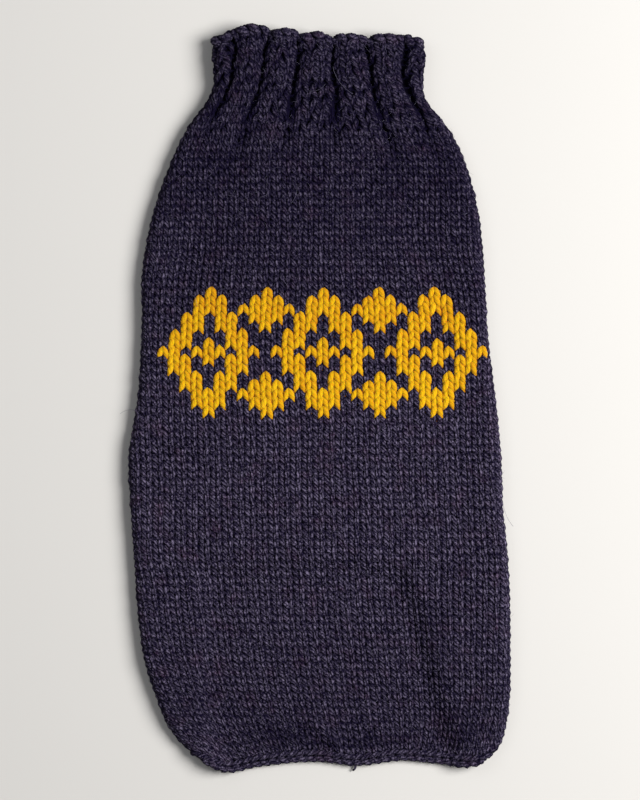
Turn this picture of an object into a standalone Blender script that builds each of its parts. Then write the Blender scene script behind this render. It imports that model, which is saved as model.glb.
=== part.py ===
"""A hand-knitted dog sweater that lies flat, its back panel uppermost.

Metres, +Z up. The sweater lies on z = 0 with its neck towards +Y, and the origin is on that surface,
below the middle of its outline. Four pieces of cloth make it up: a ribbed collar, a back panel that
folds round both sides and comes back underneath as two side strips, a belly panel between the strips
with a leg opening scooped out of each side, and an edging along the hem. Tables and functions work in
millimetres, "down" is the distance from the neck edge towards the hem, and x runs across from left
to right.
"""

from collections import namedtuple

import bmesh
import bpy
import numpy as np

MM = 0.001

# Driving dimensions, in millimetres
NECK_TO_HEM = 363.6  # down the middle, before the hem's own waves
NECK_Y = 183.67  # the neck edge's highest point, from the middle of the outline
COLLAR_LENGTH = 52.4
EDGING_WIDTH = 5.6
WALL = 2.8  # one layer of the knitted cloth
SEAM_GAP = 0.3  # between pieces, where they are joined
LAYER_AIR = 1.6  # slack between the back and the layer beneath it
FOLD_HEIGHT = 8.4  # a side fold's height, and how far its round reaches in
FOLD_REACH = 4.6
FOLD_SLOPE = 17.0  # over this width a fold settles down to the layers beside it
CORNER_DROP = 1.6  # a fold is this much lower at the hem's corners, and starts to sink here
CORNER_START = 325.0
CREASE_FALL = 1.5  # how steeply a crease's sides fall within its half width
EDGING_RISE = 0.8  # the hem edging stands this proud of the cloth

RIB_RISE = 2.6  # a collar rib, above the furrows beside it
UNDER_RIB_RISE = 1.8  # the same beneath, where the ribs' crowns are pressed flat
COLLAR_HOLLOW = 1.2  # between the collar's two layers
RIB_ROUND = 0.7  # 1 is a sine's round crown, and less is a fuller one
UNDER_CROWN = 1.3  # the crowns beneath would be this high, but they are pressed flat at 1
COLLAR_FADE = 0.3  # what is left of the ribs at the collar's foot
COLLAR_FADE_START = 22.0
LIP = 1.0  # the neck edge is rounded over this length, to this share of its thickness
LIP_SHARE = 0.82
RUN_ON_DEPTH = 2.1  # the collar's furrows run on into the body this deep and this wide at first
RUN_ON_WIDTH = 3.2
SHOULDER_RISE = 1.2  # below the collar the cloth stands a little higher, over this length
SHOULDER_LENGTH = 34.0

BELLY_END = 256.8  # the belly panel stops here, and the back goes on alone
BELLY_END_BOW = 6.0
BELLY_BOW_START = 60.0  # its rows begin to bow this far above its end
SETTLE_START = 1.0  # past an edge beneath it the back settles on the surface between these
SETTLE_END = 14.0
LEG_OPENING_DOWN = 129.0  # middle of each leg opening
LEG_OPENING_LENGTH = 58.0
LEG_OPENING_WIDTH = 24.0
LEG_OPENING_ROUND = 0.7  # 1 is a half ellipse, and less has fuller ends

NAVY_WOOL = (0.024, 0.019, 0.038, 1.0)

# The outline: how far the left and the right fold reach from the middle line
Station = namedtuple("Station", "down left right")
OUTLINE = [
    Station(0.0, 51.6, 50.2),
    Station(12.0, 52.4, 52.5),
    Station(20.0, 52.0, 52.2),
    Station(32.0, 51.8, 51.4),
    Station(38.0, 54.8, 52.8),
    Station(43.0, 58.5, 56.8),
    Station(52.4, 64.9, 64.2),
    Station(62.0, 69.8, 69.4),
    Station(77.0, 75.9, 74.8),
    Station(96.5, 82.0, 79.0),
    Station(118.0, 86.0, 81.0),
    Station(155.0, 86.9, 83.2),
    Station(185.0, 88.9, 86.9),
    Station(214.0, 93.3, 89.7),
    Station(234.0, 92.4, 90.3),
    Station(263.0, 90.4, 92.9),
    Station(292.5, 88.2, 94.0),
    Station(313.0, 85.3, 94.1),
    Station(331.0, 79.5, 93.8),
    Station(346.0, 73.4, 91.6),
    Station(354.0, 67.6, 89.2),
    Station(359.0, 62.5, 85.8),
    Station(363.6, 56.4, 80.2),
]

# The side strips: how far each one reaches back in underneath from its fold
Strip = namedtuple("Strip", "down left right")
STRIPS = [
    Strip(52.4, 20.0, 20.0),
    Strip(120.0, 25.0, 30.0),
    Strip(200.0, 28.0, 38.0),
    Strip(257.0, 28.0, 45.0),
    Strip(302.0, 25.0, 34.0),
    Strip(332.0, 18.0, 26.0),
    Strip(351.0, 11.0, 17.0),
    Strip(363.6, 6.6, 6.6),
]

# The furrows between the collar's ribs, left to right: where each one lies across at the neck edge,
# at the collar's waist and at its foot, how far the neck edge dips there, and how far the furrow runs
# on into the body
Furrow = namedtuple("Furrow", "neck waist foot dip run_on")
TOP_FURROWS = [
    Furrow(-42.4, -42.4, -56.0, 3.4, 12.0),
    Furrow(-23.8, -28.7, -36.2, 2.9, 18.0),
    Furrow(-9.6, -11.5, -15.6, 4.9, 13.0),
    Furrow(6.6, 7.6, 8.1, 7.3, 14.0),
    Furrow(23.8, 25.7, 33.1, 6.9, 26.0),
    Furrow(42.6, 42.2, 53.1, 6.2, 30.0),
]
UNDER_FURROWS = [
    Furrow(-41.0, -41.6, -54.0, 6.0, 0.0),
    Furrow(-26.0, -27.0, -35.0, 6.0, 0.0),
    Furrow(-9.0, -9.5, -13.0, 7.0, 0.0),
    Furrow(8.0, 8.5, 10.5, 9.0, 0.0),
    Furrow(24.5, 25.0, 32.0, 9.0, 0.0),
    Furrow(41.5, 41.8, 52.0, 8.5, 0.0),
]
COLLAR_WAIST = 28.0
# How far the neck edge dips at the crown of each rib, from the left fold's to the right fold's
TOP_CROWN_DIPS = [6.0, 0.0, 2.5, 4.4, 4.9, 5.0, 6.4]
UNDER_CROWN_DIPS = [6.0, 4.0, 5.0, 6.5, 7.0, 7.5, 6.4]
DIP_FADE = 24.0  # the dips have gone this far down the collar

# The largest folds of the back: each runs from one end to the other, half_width to each side of its
# line, and sinks by its depth. A ridge has a negative depth.
Crease = namedtuple("Crease", "x0 down0 x1 down1 half_width depth")
CREASES = [
    Crease(-38.5, 62.0, -65.0, 126.0, 13.0, 0.9),
    Crease(25.0, 62.0, 22.8, 94.0, 11.0, 0.8),
    Crease(44.8, 94.0, 54.6, 116.0, 10.0, 0.7),
    Crease(-78.0, 204.0, -68.0, 221.0, 6.0, 0.6),
    Crease(-1.7, 343.0, 9.5, 355.0, 5.0, -1.3),
]

# The hem's waves: how far below its mean line the edge hangs
Wave = namedtuple("Wave", "x drop")
HEM_WAVES = [
    Wave(-58.0, -1.2),
    Wave(-44.5, 3.7),
    Wave(-31.0, 1.2),
    Wave(0.0, -1.5),
    Wave(18.0, 0.5),
    Wave(40.0, -2.0),
    Wave(60.0, -0.5),
    Wave(73.0, 0.9),
    Wave(82.0, -0.5),
]
HEM_WAVE_REACH = 30.0  # the rows above the hem follow its waves over this distance

# The hem edging's profile: places across it, and there its share of the rise and of the wall
Bead = namedtuple("Bead", "across rise wall")
EDGING_PROFILE = [
    Bead(0.0, 0.3, 1.0),
    Bead(0.25, 1.0, 1.0),
    Bead(0.7, 1.0, 1.0),
    Bead(1.0, 0.0, 0.8),
]

# How finely the walls are divided
STRIP_STEPS = 3
FOLD_STEPS = 7
TOP_STEPS = 36
# Rows of the back panel: from here, to there, in this many steps
Rows = namedtuple("Rows", "start end steps")
BACK_ROWS = [
    Rows(COLLAR_LENGTH, 76.0, 5),
    Rows(76.0, 252.0, 19),
    Rows(252.0, 273.0, 4),
    Rows(273.0, 327.0, 6),
    Rows(327.0, 345.0, 3),
    Rows(345.0, NECK_TO_HEM - EDGING_WIDTH, 4),
]
COLLAR_ROWS = [
    Rows(0.0, 2.0, 1),
    Rows(2.0, 32.0, 4),
    Rows(32.0, COLLAR_LENGTH, 4),
]
# Places across one rib, from its furrow to the next, where the collar's wall has a point
RIB_STEPS = [0.0, 0.1, 0.28, 0.5, 0.72, 0.9]
SIDE_RIB_STEPS = [0.0, 0.45, 0.8]
COLLAR_END_STEPS = 7
BELLY_STEPS = 8
BELLY_ROWS_ABOVE = 6  # above, beside and below the leg openings
OPENING_ROWS = 12
BELLY_ROWS_BELOW = 11
SHARP_ANGLE = 50.0


def table(rows, *columns):
    """The named columns of a table, each as an array."""
    return [np.array([getattr(row, column) for row in rows], float) for column in columns]


def through(x, at, value):
    """A smooth curve through a table's points: between each two a cubic, with its neighbours' slopes."""
    slope = np.gradient(value, at)
    i = np.clip(np.searchsorted(at, x) - 1, 0, len(at) - 2)
    width = at[i + 1] - at[i]
    t = np.clip((x - at[i]) / width, 0.0, 1.0)
    rise = value[i + 1] - value[i]
    curve = value[i] + rise * t * t * (3 - 2 * t)
    curve += width * t * (1 - t) * (slope[i] * (1 - t) - slope[i + 1] * t)
    return curve


def ease(x, start, end):
    """0 before start, 1 after end, and a smooth step between them."""
    t = np.clip((x - start) / (end - start), 0.0, 1.0)
    return t * t * (3 - 2 * t)


def rows_of(stretches):
    """Every row's distance down, over all the stretches."""
    steps = [np.linspace(s.start, s.end, s.steps, endpoint=False) for s in stretches]
    return np.concatenate([*steps, [stretches[-1].end]])


def fold_lines(down):
    """x of the left and the right fold."""
    at, left, right = table(OUTLINE, "down", "left", "right")
    return -through(down, at, left), through(down, at, right)


def strip_edges(down):
    """x of the left and the right side strip's inner edge."""
    at, left, right = table(STRIPS, "down", "left", "right")
    fold_left, fold_right = fold_lines(down)
    return fold_left + through(down, at, left), fold_right - through(down, at, right)


def furrow_line(furrow, down):
    """x of one furrow: straight to the collar's waist, then fanning out to its foot and beyond."""
    bend = [0.0, COLLAR_WAIST, COLLAR_LENGTH, COLLAR_LENGTH * 2 - COLLAR_WAIST]
    across = [furrow.neck, furrow.waist, furrow.foot, 2 * furrow.foot - furrow.waist]
    return through(down, np.array(bend), np.array(across))


def crease_depth(crease, x, down):
    """How far one crease sinks the cloth: a soft trough about its line."""
    along_x, along_down = crease.x1 - crease.x0, crease.down1 - crease.down0
    length = np.hypot(along_x, along_down)
    t = ((x - crease.x0) * along_x + (down - crease.down0) * along_down) / length**2
    near = np.clip(t, 0.0, 1.0)
    aside = np.hypot(x - crease.x0 - near * along_x, down - crease.down0 - near * along_down)
    return crease.depth * np.exp(-((aside / crease.half_width * CREASE_FALL) ** 2))


def furrow_depth(x, down):
    """How far the collar's furrows still sink the body where they run on into it."""
    depth = np.zeros_like(x)
    for furrow in TOP_FURROWS:
        fade = 1.0 - ease(down, COLLAR_LENGTH, COLLAR_LENGTH + furrow.run_on)
        beside = (x - furrow_line(furrow, down)) / RUN_ON_WIDTH
        depth += RUN_ON_DEPTH * fade * np.exp(-(beside**2))
    return depth


def top_height(x, down):
    """Height of the back's outer face. Two layers lie under it at the sides and over the belly panel.

    Past the belly panel's end it settles between the side strips until it lies on the surface alone.
    """
    fold_left, fold_right = fold_lines(down)
    strip_left, strip_right = strip_edges(down)
    double = 2 * WALL + LAYER_AIR
    middle = (strip_left + strip_right) / 2
    bow = BELLY_END_BOW * (2 * (x - middle) / (strip_right - strip_left)) ** 2
    inside = np.minimum(np.minimum(x - strip_left, strip_right - x), down - BELLY_END - bow)
    height = double - (double - WALL) * ease(inside, SETTLE_START, SETTLE_END)
    beside = np.minimum(x - fold_left, fold_right - x) - FOLD_REACH
    swell = 1.0 - ease(beside, 0.0, FOLD_SLOPE)
    height += (fold_height(down) - double) * swell
    shoulder = 1.0 - ease(down, COLLAR_LENGTH, COLLAR_LENGTH + SHOULDER_LENGTH)
    height += SHOULDER_RISE * shoulder * (1.0 - swell)
    relief = furrow_depth(x, down) + sum(crease_depth(c, x, down) for c in CREASES)
    height -= relief * (1.0 - swell)
    return np.maximum(height, WALL)


def fold_height(down):
    """A side fold is a little lower towards the hem's corners."""
    return FOLD_HEIGHT - CORNER_DROP * ease(down, CORNER_START, NECK_TO_HEM)


def hem_drop(x, down):
    """How far the hem's waves carry a point down."""
    at, drop = table(HEM_WAVES, "x", "drop")
    end = NECK_TO_HEM - EDGING_WIDTH
    return through(x, at, drop) * ease(down, NECK_TO_HEM - HEM_WAVE_REACH, end)


def body_face(down):
    """The body's outer face on a grid, with a row for each distance down.

    Each row runs in under the left strip's edge, round the left fold, over the back, round the right
    fold and back in under the right strip.
    """
    down = down[:, None]
    fold_left, fold_right = fold_lines(down)
    strip_left, strip_right = strip_edges(down)
    along = np.linspace(0.0, 1.0, STRIP_STEPS, endpoint=False)
    turn = np.linspace(0.0, np.pi, FOLD_STEPS + 1)
    across = np.linspace(0.0, 1.0, TOP_STEPS + 1)[1:-1]
    start, end = fold_left + FOLD_REACH, fold_right - FOLD_REACH
    over_x = start + (end - start) * across
    height = fold_height(down)
    x = np.hstack(
        [
            strip_left + (start - strip_left) * along,
            start - FOLD_REACH * np.sin(turn),
            over_x,
            end + FOLD_REACH * np.sin(turn[::-1]),
            strip_right + (end - strip_right) * along[::-1],
        ]
    )
    flat = np.zeros((len(down), STRIP_STEPS))
    round_up = height / 2 * (1 - np.cos(turn))
    over = top_height(over_x, np.broadcast_to(down, over_x.shape))
    z = np.hstack([flat, round_up, over, round_up[:, ::-1], flat])
    y = NECK_Y - down - hem_drop(x, down)
    return np.stack([x, y, z], axis=-1)


def level_normals(face):
    """Unit normals of a grid of points, each kept in its own row's cross-section."""
    across = np.gradient(face, axis=1)
    normal = np.stack([-across[..., 2], 0 * across[..., 1], across[..., 0]], axis=-1)
    return normal / np.linalg.norm(normal, axis=-1, keepdims=True)


def outward(face):
    """Unit normals of a grid of points, pointing out of the cloth.

    The end rows' are level, so that the pieces on both sides of a seam match.
    """
    normal = np.cross(np.gradient(face, axis=0), np.gradient(face, axis=1))
    normal /= np.linalg.norm(normal, axis=-1, keepdims=True)
    normal[[0, -1]] = level_normals(face)[[0, -1]]
    return normal


def add_wall(name, outer, inner, ring=False):
    """A closed wall between two grids of points.

    It has both faces, both end rows and, unless it is a ring, both side edges.
    """
    rows, columns = outer.shape[:2]
    index = np.arange(2 * rows * columns).reshape(2, rows, columns)
    if ring:
        index = np.concatenate([index, index[:, :, :1]], axis=2)
    faces = [quads(index[0]), quads(index[1])[:, ::-1]]
    faces += [quads(index[:, 0, :])[:, ::-1], quads(index[:, -1, :])]
    if not ring:
        faces += [quads(index[:, :, 0]), quads(index[:, :, -1])[:, ::-1]]
    points = np.concatenate([outer.reshape(-1, 3), inner.reshape(-1, 3)]) * MM
    mesh = bpy.data.meshes.new(name)
    mesh.from_pydata(points.tolist(), [], np.concatenate(faces).tolist())
    shaped = bmesh.new()
    shaped.from_mesh(mesh)
    bmesh.ops.triangulate(shaped, faces=shaped.faces, quad_method="SHORT_EDGE")
    bmesh.ops.recalc_face_normals(shaped, faces=shaped.faces)
    shaped.to_mesh(mesh)
    shaped.free()
    mesh.shade_smooth()
    mesh.set_sharp_from_angle(angle=np.radians(SHARP_ANGLE))
    mesh.materials.append(knitted_wool())
    piece = bpy.data.objects.new(name, mesh)
    bpy.context.collection.objects.link(piece)
    return piece


def quads(index):
    """The four corners of each cell of a grid of point numbers."""
    corners = [index[:-1, :-1], index[1:, :-1], index[1:, 1:], index[:-1, 1:]]
    return np.stack(corners, axis=-1).reshape(-1, 4)


def knitted_wool():
    """Navy wool, soft and without shine."""
    material = bpy.data.materials.get("navy_wool") or bpy.data.materials.new("navy_wool")
    material.use_nodes = True
    shader = material.node_tree.nodes["Principled BSDF"]
    shader.inputs["Base Color"].default_value = NAVY_WOOL
    shader.inputs["Roughness"].default_value = 0.9
    shader.inputs["Metallic"].default_value = 0.0
    return material


def back_panel():
    """The back with its side folds and strips, from the collar's foot to the edging."""
    face = body_face(rows_of(BACK_ROWS))
    inner = face - WALL * outward(face)
    inner[..., 2] = np.maximum(inner[..., 2], 0.0)
    face[0, :, 1] -= SEAM_GAP
    inner[0, :, 1] -= SEAM_GAP
    return add_wall("back_panel", face, inner)


def hem_edging():
    """The raised edging along the hem, a bead on the same face as the back panel."""
    across, rise, wall = table(EDGING_PROFILE, "across", "rise", "wall")
    face = body_face(NECK_TO_HEM - EDGING_WIDTH * (1 - across))
    out = level_normals(face)
    outer = face + EDGING_RISE * rise[:, None, None] * out
    inner = face - WALL * wall[:, None, None] * out
    for points in (outer, inner):
        points[..., 2] = np.maximum(points[..., 2], 0.0)
        points[0, :, 1] -= SEAM_GAP
    return add_wall("hem_edging", outer, inner)


def belly_panel():
    """The flat panel underneath, between the side strips, with a leg opening scooped from each side."""
    turn = np.linspace(0.0, np.pi, OPENING_ROWS + 1)
    beside = LEG_OPENING_DOWN - LEG_OPENING_LENGTH / 2 * np.cos(turn)
    above = np.linspace(COLLAR_LENGTH + SEAM_GAP, beside[0], BELLY_ROWS_ABOVE, endpoint=False)
    below = np.linspace(beside[-1], BELLY_END, BELLY_ROWS_BELOW + 1)[1:]
    down = np.concatenate([above, beside, below])
    round_out = np.maximum(np.sin(turn), 0.0) ** LEG_OPENING_ROUND
    scoop = LEG_OPENING_WIDTH * np.concatenate([0 * above, round_out, 0 * below])
    across = np.linspace(-1.0, 1.0, BELLY_STEPS + 1)
    bow = BELLY_END_BOW * across**2 * ease(down, BELLY_END - BELLY_BOW_START, BELLY_END)[:, None]
    down = down[:, None] + bow
    left, right = strip_edges(down)
    left, right = left + SEAM_GAP + scoop[:, None], right - SEAM_GAP - scoop[:, None]
    x = (left + right) / 2 + (right - left) / 2 * across
    y = NECK_Y - down
    lower = np.stack([x, y, 0 * x], axis=-1)
    upper = lower + [0.0, 0.0, WALL]
    return add_wall("belly_panel", upper, lower)


def rib_height(place):
    """A rib's rounded rise across it, from 0 in one furrow to 1 at its crown and 0 in the next."""
    return np.sin(np.pi * np.clip(place, 0.0, 1.0)) ** RIB_ROUND


def collar_run(furrows, crown_dips, down, edge_left, edge_right):
    """One layer of the collar from left to right: x, rib rise and the neck edge's dip at each point.

    Whole ribs lie between the furrows. The first and the last stretch are the near halves of the ribs
    that wrap round the side folds.
    """
    lines = np.stack([furrow_line(f, down) for f in furrows], axis=-1)
    lines = np.hstack([edge_left, lines, edge_right])
    spans = len(furrows) + 1
    place, rib = [], []
    for i in range(spans):
        steps = SIDE_RIB_STEPS if i == 0 else RIB_STEPS
        if i == spans - 1:
            steps = [0.0] + [1 - s for s in SIDE_RIB_STEPS[:0:-1]]
        steps = np.array(steps)
        half_rib = {0: (steps + 1) / 2, spans - 1: steps / 2}
        place.append(i + steps)
        rib.append(rib_height(half_rib.get(i, steps)))
    place = np.append(np.concatenate(place), spans)
    rib = np.append(np.concatenate(rib), 1.0)
    i = np.minimum(place.astype(int), spans - 1)
    x = lines[:, i] + (lines[:, i + 1] - lines[:, i]) * (place - i)
    furrow_dips = [crown_dips[0]] + [f.dip for f in furrows] + [crown_dips[-1]]
    crown = np.array(crown_dips)[i]
    valley = np.interp(place, np.arange(spans + 1), furrow_dips)
    whole = (i > 0) & (i < spans - 1)
    dip = np.where(whole, valley + (crown - valley) * rib, valley)
    return x, rib, dip


def collar():
    """The ribbed tube round the neck, pressed flat: a plain inside, and ribs in the outer face."""
    down = rows_of(COLLAR_ROWS)
    column = down[:, None]
    fade = 1.0 - (1.0 - COLLAR_FADE) * ease(column, COLLAR_FADE_START, COLLAR_LENGTH)
    rise, under_rise = RIB_RISE * fade, UNDER_RIB_RISE * fade
    fold_left, fold_right = fold_lines(column)
    end_radius = COLLAR_HOLLOW / 2
    end_wall = WALL + (rise + under_rise) / 2
    centre_left = fold_left + end_radius + end_wall
    centre_right = fold_right - end_radius - end_wall
    middle = WALL + under_rise + end_radius

    ends = (centre_left, centre_right)
    over_x, over_rib, over_dip = collar_run(TOP_FURROWS, TOP_CROWN_DIPS, down, *ends)
    below_x, below_rib, below_dip = collar_run(UNDER_FURROWS, UNDER_CROWN_DIPS, down, *ends)
    turn = np.linspace(0.0, np.pi, COLLAR_END_STEPS + 1)[1:-1]
    ones = np.ones_like(turn)
    # The ring: over from left to right, round the right end, back beneath, and round the left end
    inner_x = np.hstack(
        [
            over_x,
            centre_right + end_radius * np.sin(turn),
            below_x[:, ::-1],
            centre_left - end_radius * np.sin(turn),
        ]
    )
    inner_z = np.hstack(
        [
            middle + end_radius + 0 * over_x,
            middle + end_radius * np.cos(turn),
            middle - end_radius + 0 * below_x,
            middle - end_radius * np.cos(turn),
        ]
    )
    out_x = np.concatenate([0 * over_rib, np.sin(turn), 0 * below_rib, -np.sin(turn)])
    out_z = np.concatenate([0 * over_rib + 1, np.cos(turn), 0 * below_rib - 1, -np.cos(turn)])
    pressed = np.minimum(1.0, UNDER_CROWN * below_rib[::-1])
    share = (1 + np.cos(turn)) / 2
    wall = WALL + np.hstack(
        [
            rise * over_rib,
            rise * share + under_rise * (1 - share),
            under_rise * pressed,
            rise * (1 - share) + under_rise * share,
        ]
    )
    lip = np.where(column < LIP, LIP_SHARE, 1.0)
    dip = np.concatenate([over_dip, over_dip[-1] * ones, below_dip[::-1], over_dip[0] * ones])
    y = NECK_Y - column - dip * (1.0 - ease(column, 0.0, DIP_FADE))
    outer_x, outer_z = inner_x + out_x * wall * lip, inner_z + out_z * wall * lip
    outer = np.stack([outer_x, y, np.maximum(outer_z, 0.0)], axis=-1)
    inner = np.stack([inner_x, y, inner_z], axis=-1)
    return add_wall("collar", outer, inner, ring=True)


def build():
    for old in list(bpy.data.objects):
        bpy.data.objects.remove(old, do_unlink=True)
    collar()
    back_panel()
    belly_panel()
    hem_edging()


build()
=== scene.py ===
# A hand-knitted dog sweater that lies flat with its back uppermost: navy heather wool, with a band of
# yellow lozenges. Lengths are in millimetres until a mesh is made. "down" is the distance from the neck
# edge towards the hem. A wale is a column of stitches and a course is a row of them.
import bpy
import numpy as np
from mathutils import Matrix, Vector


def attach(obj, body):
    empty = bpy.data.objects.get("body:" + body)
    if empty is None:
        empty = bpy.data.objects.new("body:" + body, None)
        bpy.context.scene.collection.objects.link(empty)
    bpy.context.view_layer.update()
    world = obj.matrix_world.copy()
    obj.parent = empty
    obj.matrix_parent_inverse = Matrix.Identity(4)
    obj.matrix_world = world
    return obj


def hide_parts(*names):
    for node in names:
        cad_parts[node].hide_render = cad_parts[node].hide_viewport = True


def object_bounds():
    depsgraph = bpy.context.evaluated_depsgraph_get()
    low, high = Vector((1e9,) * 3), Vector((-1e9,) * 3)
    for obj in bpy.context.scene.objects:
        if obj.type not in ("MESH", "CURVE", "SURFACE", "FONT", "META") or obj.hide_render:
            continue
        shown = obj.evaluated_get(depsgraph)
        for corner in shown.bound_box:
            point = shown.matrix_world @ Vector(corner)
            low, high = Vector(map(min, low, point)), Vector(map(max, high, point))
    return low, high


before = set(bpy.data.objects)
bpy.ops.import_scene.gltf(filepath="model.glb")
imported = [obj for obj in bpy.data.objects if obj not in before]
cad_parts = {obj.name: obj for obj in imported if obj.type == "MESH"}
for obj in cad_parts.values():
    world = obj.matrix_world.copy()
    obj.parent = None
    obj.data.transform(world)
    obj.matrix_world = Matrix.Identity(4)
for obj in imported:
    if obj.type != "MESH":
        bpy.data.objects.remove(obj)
cadBox = [list(map(float, corner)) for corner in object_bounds()]
print("frame loaded:", ", ".join(sorted(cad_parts)))

mm = 0.001
full = 2 * np.pi
lowestWave = 3.76  # how far the hem's lowest wave hangs below its line
neckY = cadBox[1][1] / mm
hemDown = (cadBox[1][1] - cadBox[0][1]) / mm - lowestWave


# curves that every shape uses
def through(x, at, value):  # a cubic between each two points of a table, with its neighbours' slopes
    slope = np.gradient(value, at)
    i = np.clip(np.searchsorted(at, x) - 1, 0, len(at) - 2)
    width = at[i + 1] - at[i]
    t = np.clip((x - at[i]) / width, 0.0, 1.0)
    curve = value[i] + (value[i + 1] - value[i]) * t * t * (3 - 2 * t)
    return curve + width * t * (1 - t) * (slope[i] * (1 - t) - slope[i + 1] * t)


def ease(x, start, end):  # 0 before start, 1 after end, a smooth step between
    t = np.clip((x - start) / (end - start), 0.0, 1.0)
    return t * t * (3 - 2 * t)


def unit(v):  # the same directions, each of length 1
    return v / np.maximum(np.linalg.norm(v, axis=-1, keepdims=True), 1e-9)


def besides(grid, axis):  # the mean of each cell's two neighbours
    return (np.roll(grid, 1, axis) + np.roll(grid, -1, axis)) / 2


def uneven(seed, rows, columns, soft=0, long=0):
    # one random number a stitch: unlike its neighbours' mean, or soft times evened out with them, or
    # long times evened out down its own column and unlike the columns beside it
    grid = np.random.default_rng(seed).normal(0.0, 1.0, (rows, columns))
    for _ in range(soft):
        grid = (grid + 2 * besides(grid, 0) + 2 * besides(grid, 1)) / 5
    for _ in range(long):
        grid = (grid + besides(grid, 0)) / 2
    if not soft:
        grid = grid - 0.8 * (besides(grid, 1) if long else (besides(grid, 0) + besides(grid, 1)) / 2)
    return grid / grid.std()


def between(grid, row, column):  # a grid read at a whole row and between two columns
    low = np.floor(column).astype(int)
    part = column - low
    part = part * part * (3 - 2 * part)
    size = grid.shape[1]
    return grid[row % len(grid), low % size] * (1 - part) + grid[row % len(grid), (low + 1) % size] * part


# the body: a tube's back half, its folds and the strips that come back underneath
body = {
    "collarFoot": 52.4,
    "edgingTop": 358.0,
    "wall": 2.8,
    "layerAir": 1.6,  # between the back and what lies under it
    "foldHeight": 8.4,
    "foldSink": (1.6, 325.0),  # how much lower a fold is at the hem, and where it starts to sink
    "foldReach": 4.6,  # half a fold's round, sideways
    "foldSlope": 17.0,  # how far the swell beside it reaches
    "shoulder": (1.2, 34.0),  # how much the back swells at the collar's foot, and how far down
    "bellyEnd": 256.8,  # where the panel underneath ends, and how far its corners hang lower
    "bellyEndBow": 6.0,
    "settle": (1.0, 14.0),  # how far inside the layer below ends the slope down begins and ends
    "hemWaveReach": 30.0,
    "courses": [(52.4, 130.4, 21), (130.4, 192.6, 15), (192.6, 358.6, 44)],  # from, to, how many
    # how far the left and the right fold reach from the middle line
    "outline": [
        (0.0, 51.6, 50.2), (12.0, 52.4, 52.5), (20.0, 52.0, 52.2), (32.0, 51.8, 51.4), (38.0, 54.8, 52.8),
        (43.0, 58.5, 56.8), (52.4, 64.9, 64.2), (62.0, 69.8, 69.4), (77.0, 75.9, 74.8), (96.5, 82.0, 79.0),
        (118.0, 86.0, 81.0), (155.0, 86.9, 83.2), (185.0, 88.9, 86.9), (214.0, 93.3, 89.7), (234.0, 92.4, 90.3),
        (263.0, 90.4, 92.9), (292.5, 88.2, 94.0), (313.0, 85.3, 94.1), (331.0, 79.5, 93.8), (346.0, 73.4, 91.6),
        (354.0, 67.6, 89.2), (359.0, 62.5, 85.8), (363.6, 56.4, 80.2),
    ],
    # how far each side strip reaches back in underneath
    "strips": [
        (52.4, 20.0, 20.0), (120.0, 25.0, 30.0), (200.0, 28.0, 38.0), (257.0, 28.0, 45.0),
        (302.0, 25.0, 34.0), (332.0, 18.0, 26.0), (351.0, 11.0, 17.0), (363.6, 6.6, 6.6),
    ],
    # where the middle wale lies: it drifts to the right towards the hem
    "middle": [(52.4, 0.0), (200.0, -0.6), (234.0, 0.0), (263.0, 0.9), (292.0, 2.4), (313.0, 4.0),
               (331.0, 6.3), (346.0, 8.6), (363.6, 10.6)],
    # folds in the cloth, each a soft trough from one end to the other: x, down, x, down, half its
    # width, depth. A ridge has a negative depth.
    "creases": [
        (-38.5, 62.0, -65.0, 126.0, 13.0, 0.9),
        (25.0, 62.0, 22.8, 94.0, 11.0, 0.8),
        (44.8, 94.0, 54.6, 116.0, 10.0, 0.7),
        (-78.0, 204.0, -68.0, 221.0, 6.0, 0.6),
        (-1.7, 343.0, 9.5, 355.0, 5.0, -1.3),
    ],
    # how far the hem hangs below its line
    "hemWaves": [(-58.0, -1.2), (-44.5, 3.7), (-31.0, 1.2), (0.0, -1.5), (18.0, 0.5), (40.0, -2.0),
                 (60.0, -0.5), (73.0, 0.9), (82.0, -0.5)],
    "gatherFrom": 22.0,  # wales further out than this are squeezed towards the hem
    "gatherDown": 268.0,  # below here
    # the space between two wales
    "walePitch": [(52.4, 4.95), (66.0, 5.1), (110.0, 5.25), (136.0, 5.5), (200.0, 5.6), (290.0, 5.6),
                  (345.0, 5.4), (363.6, 5.25)],
}
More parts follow.
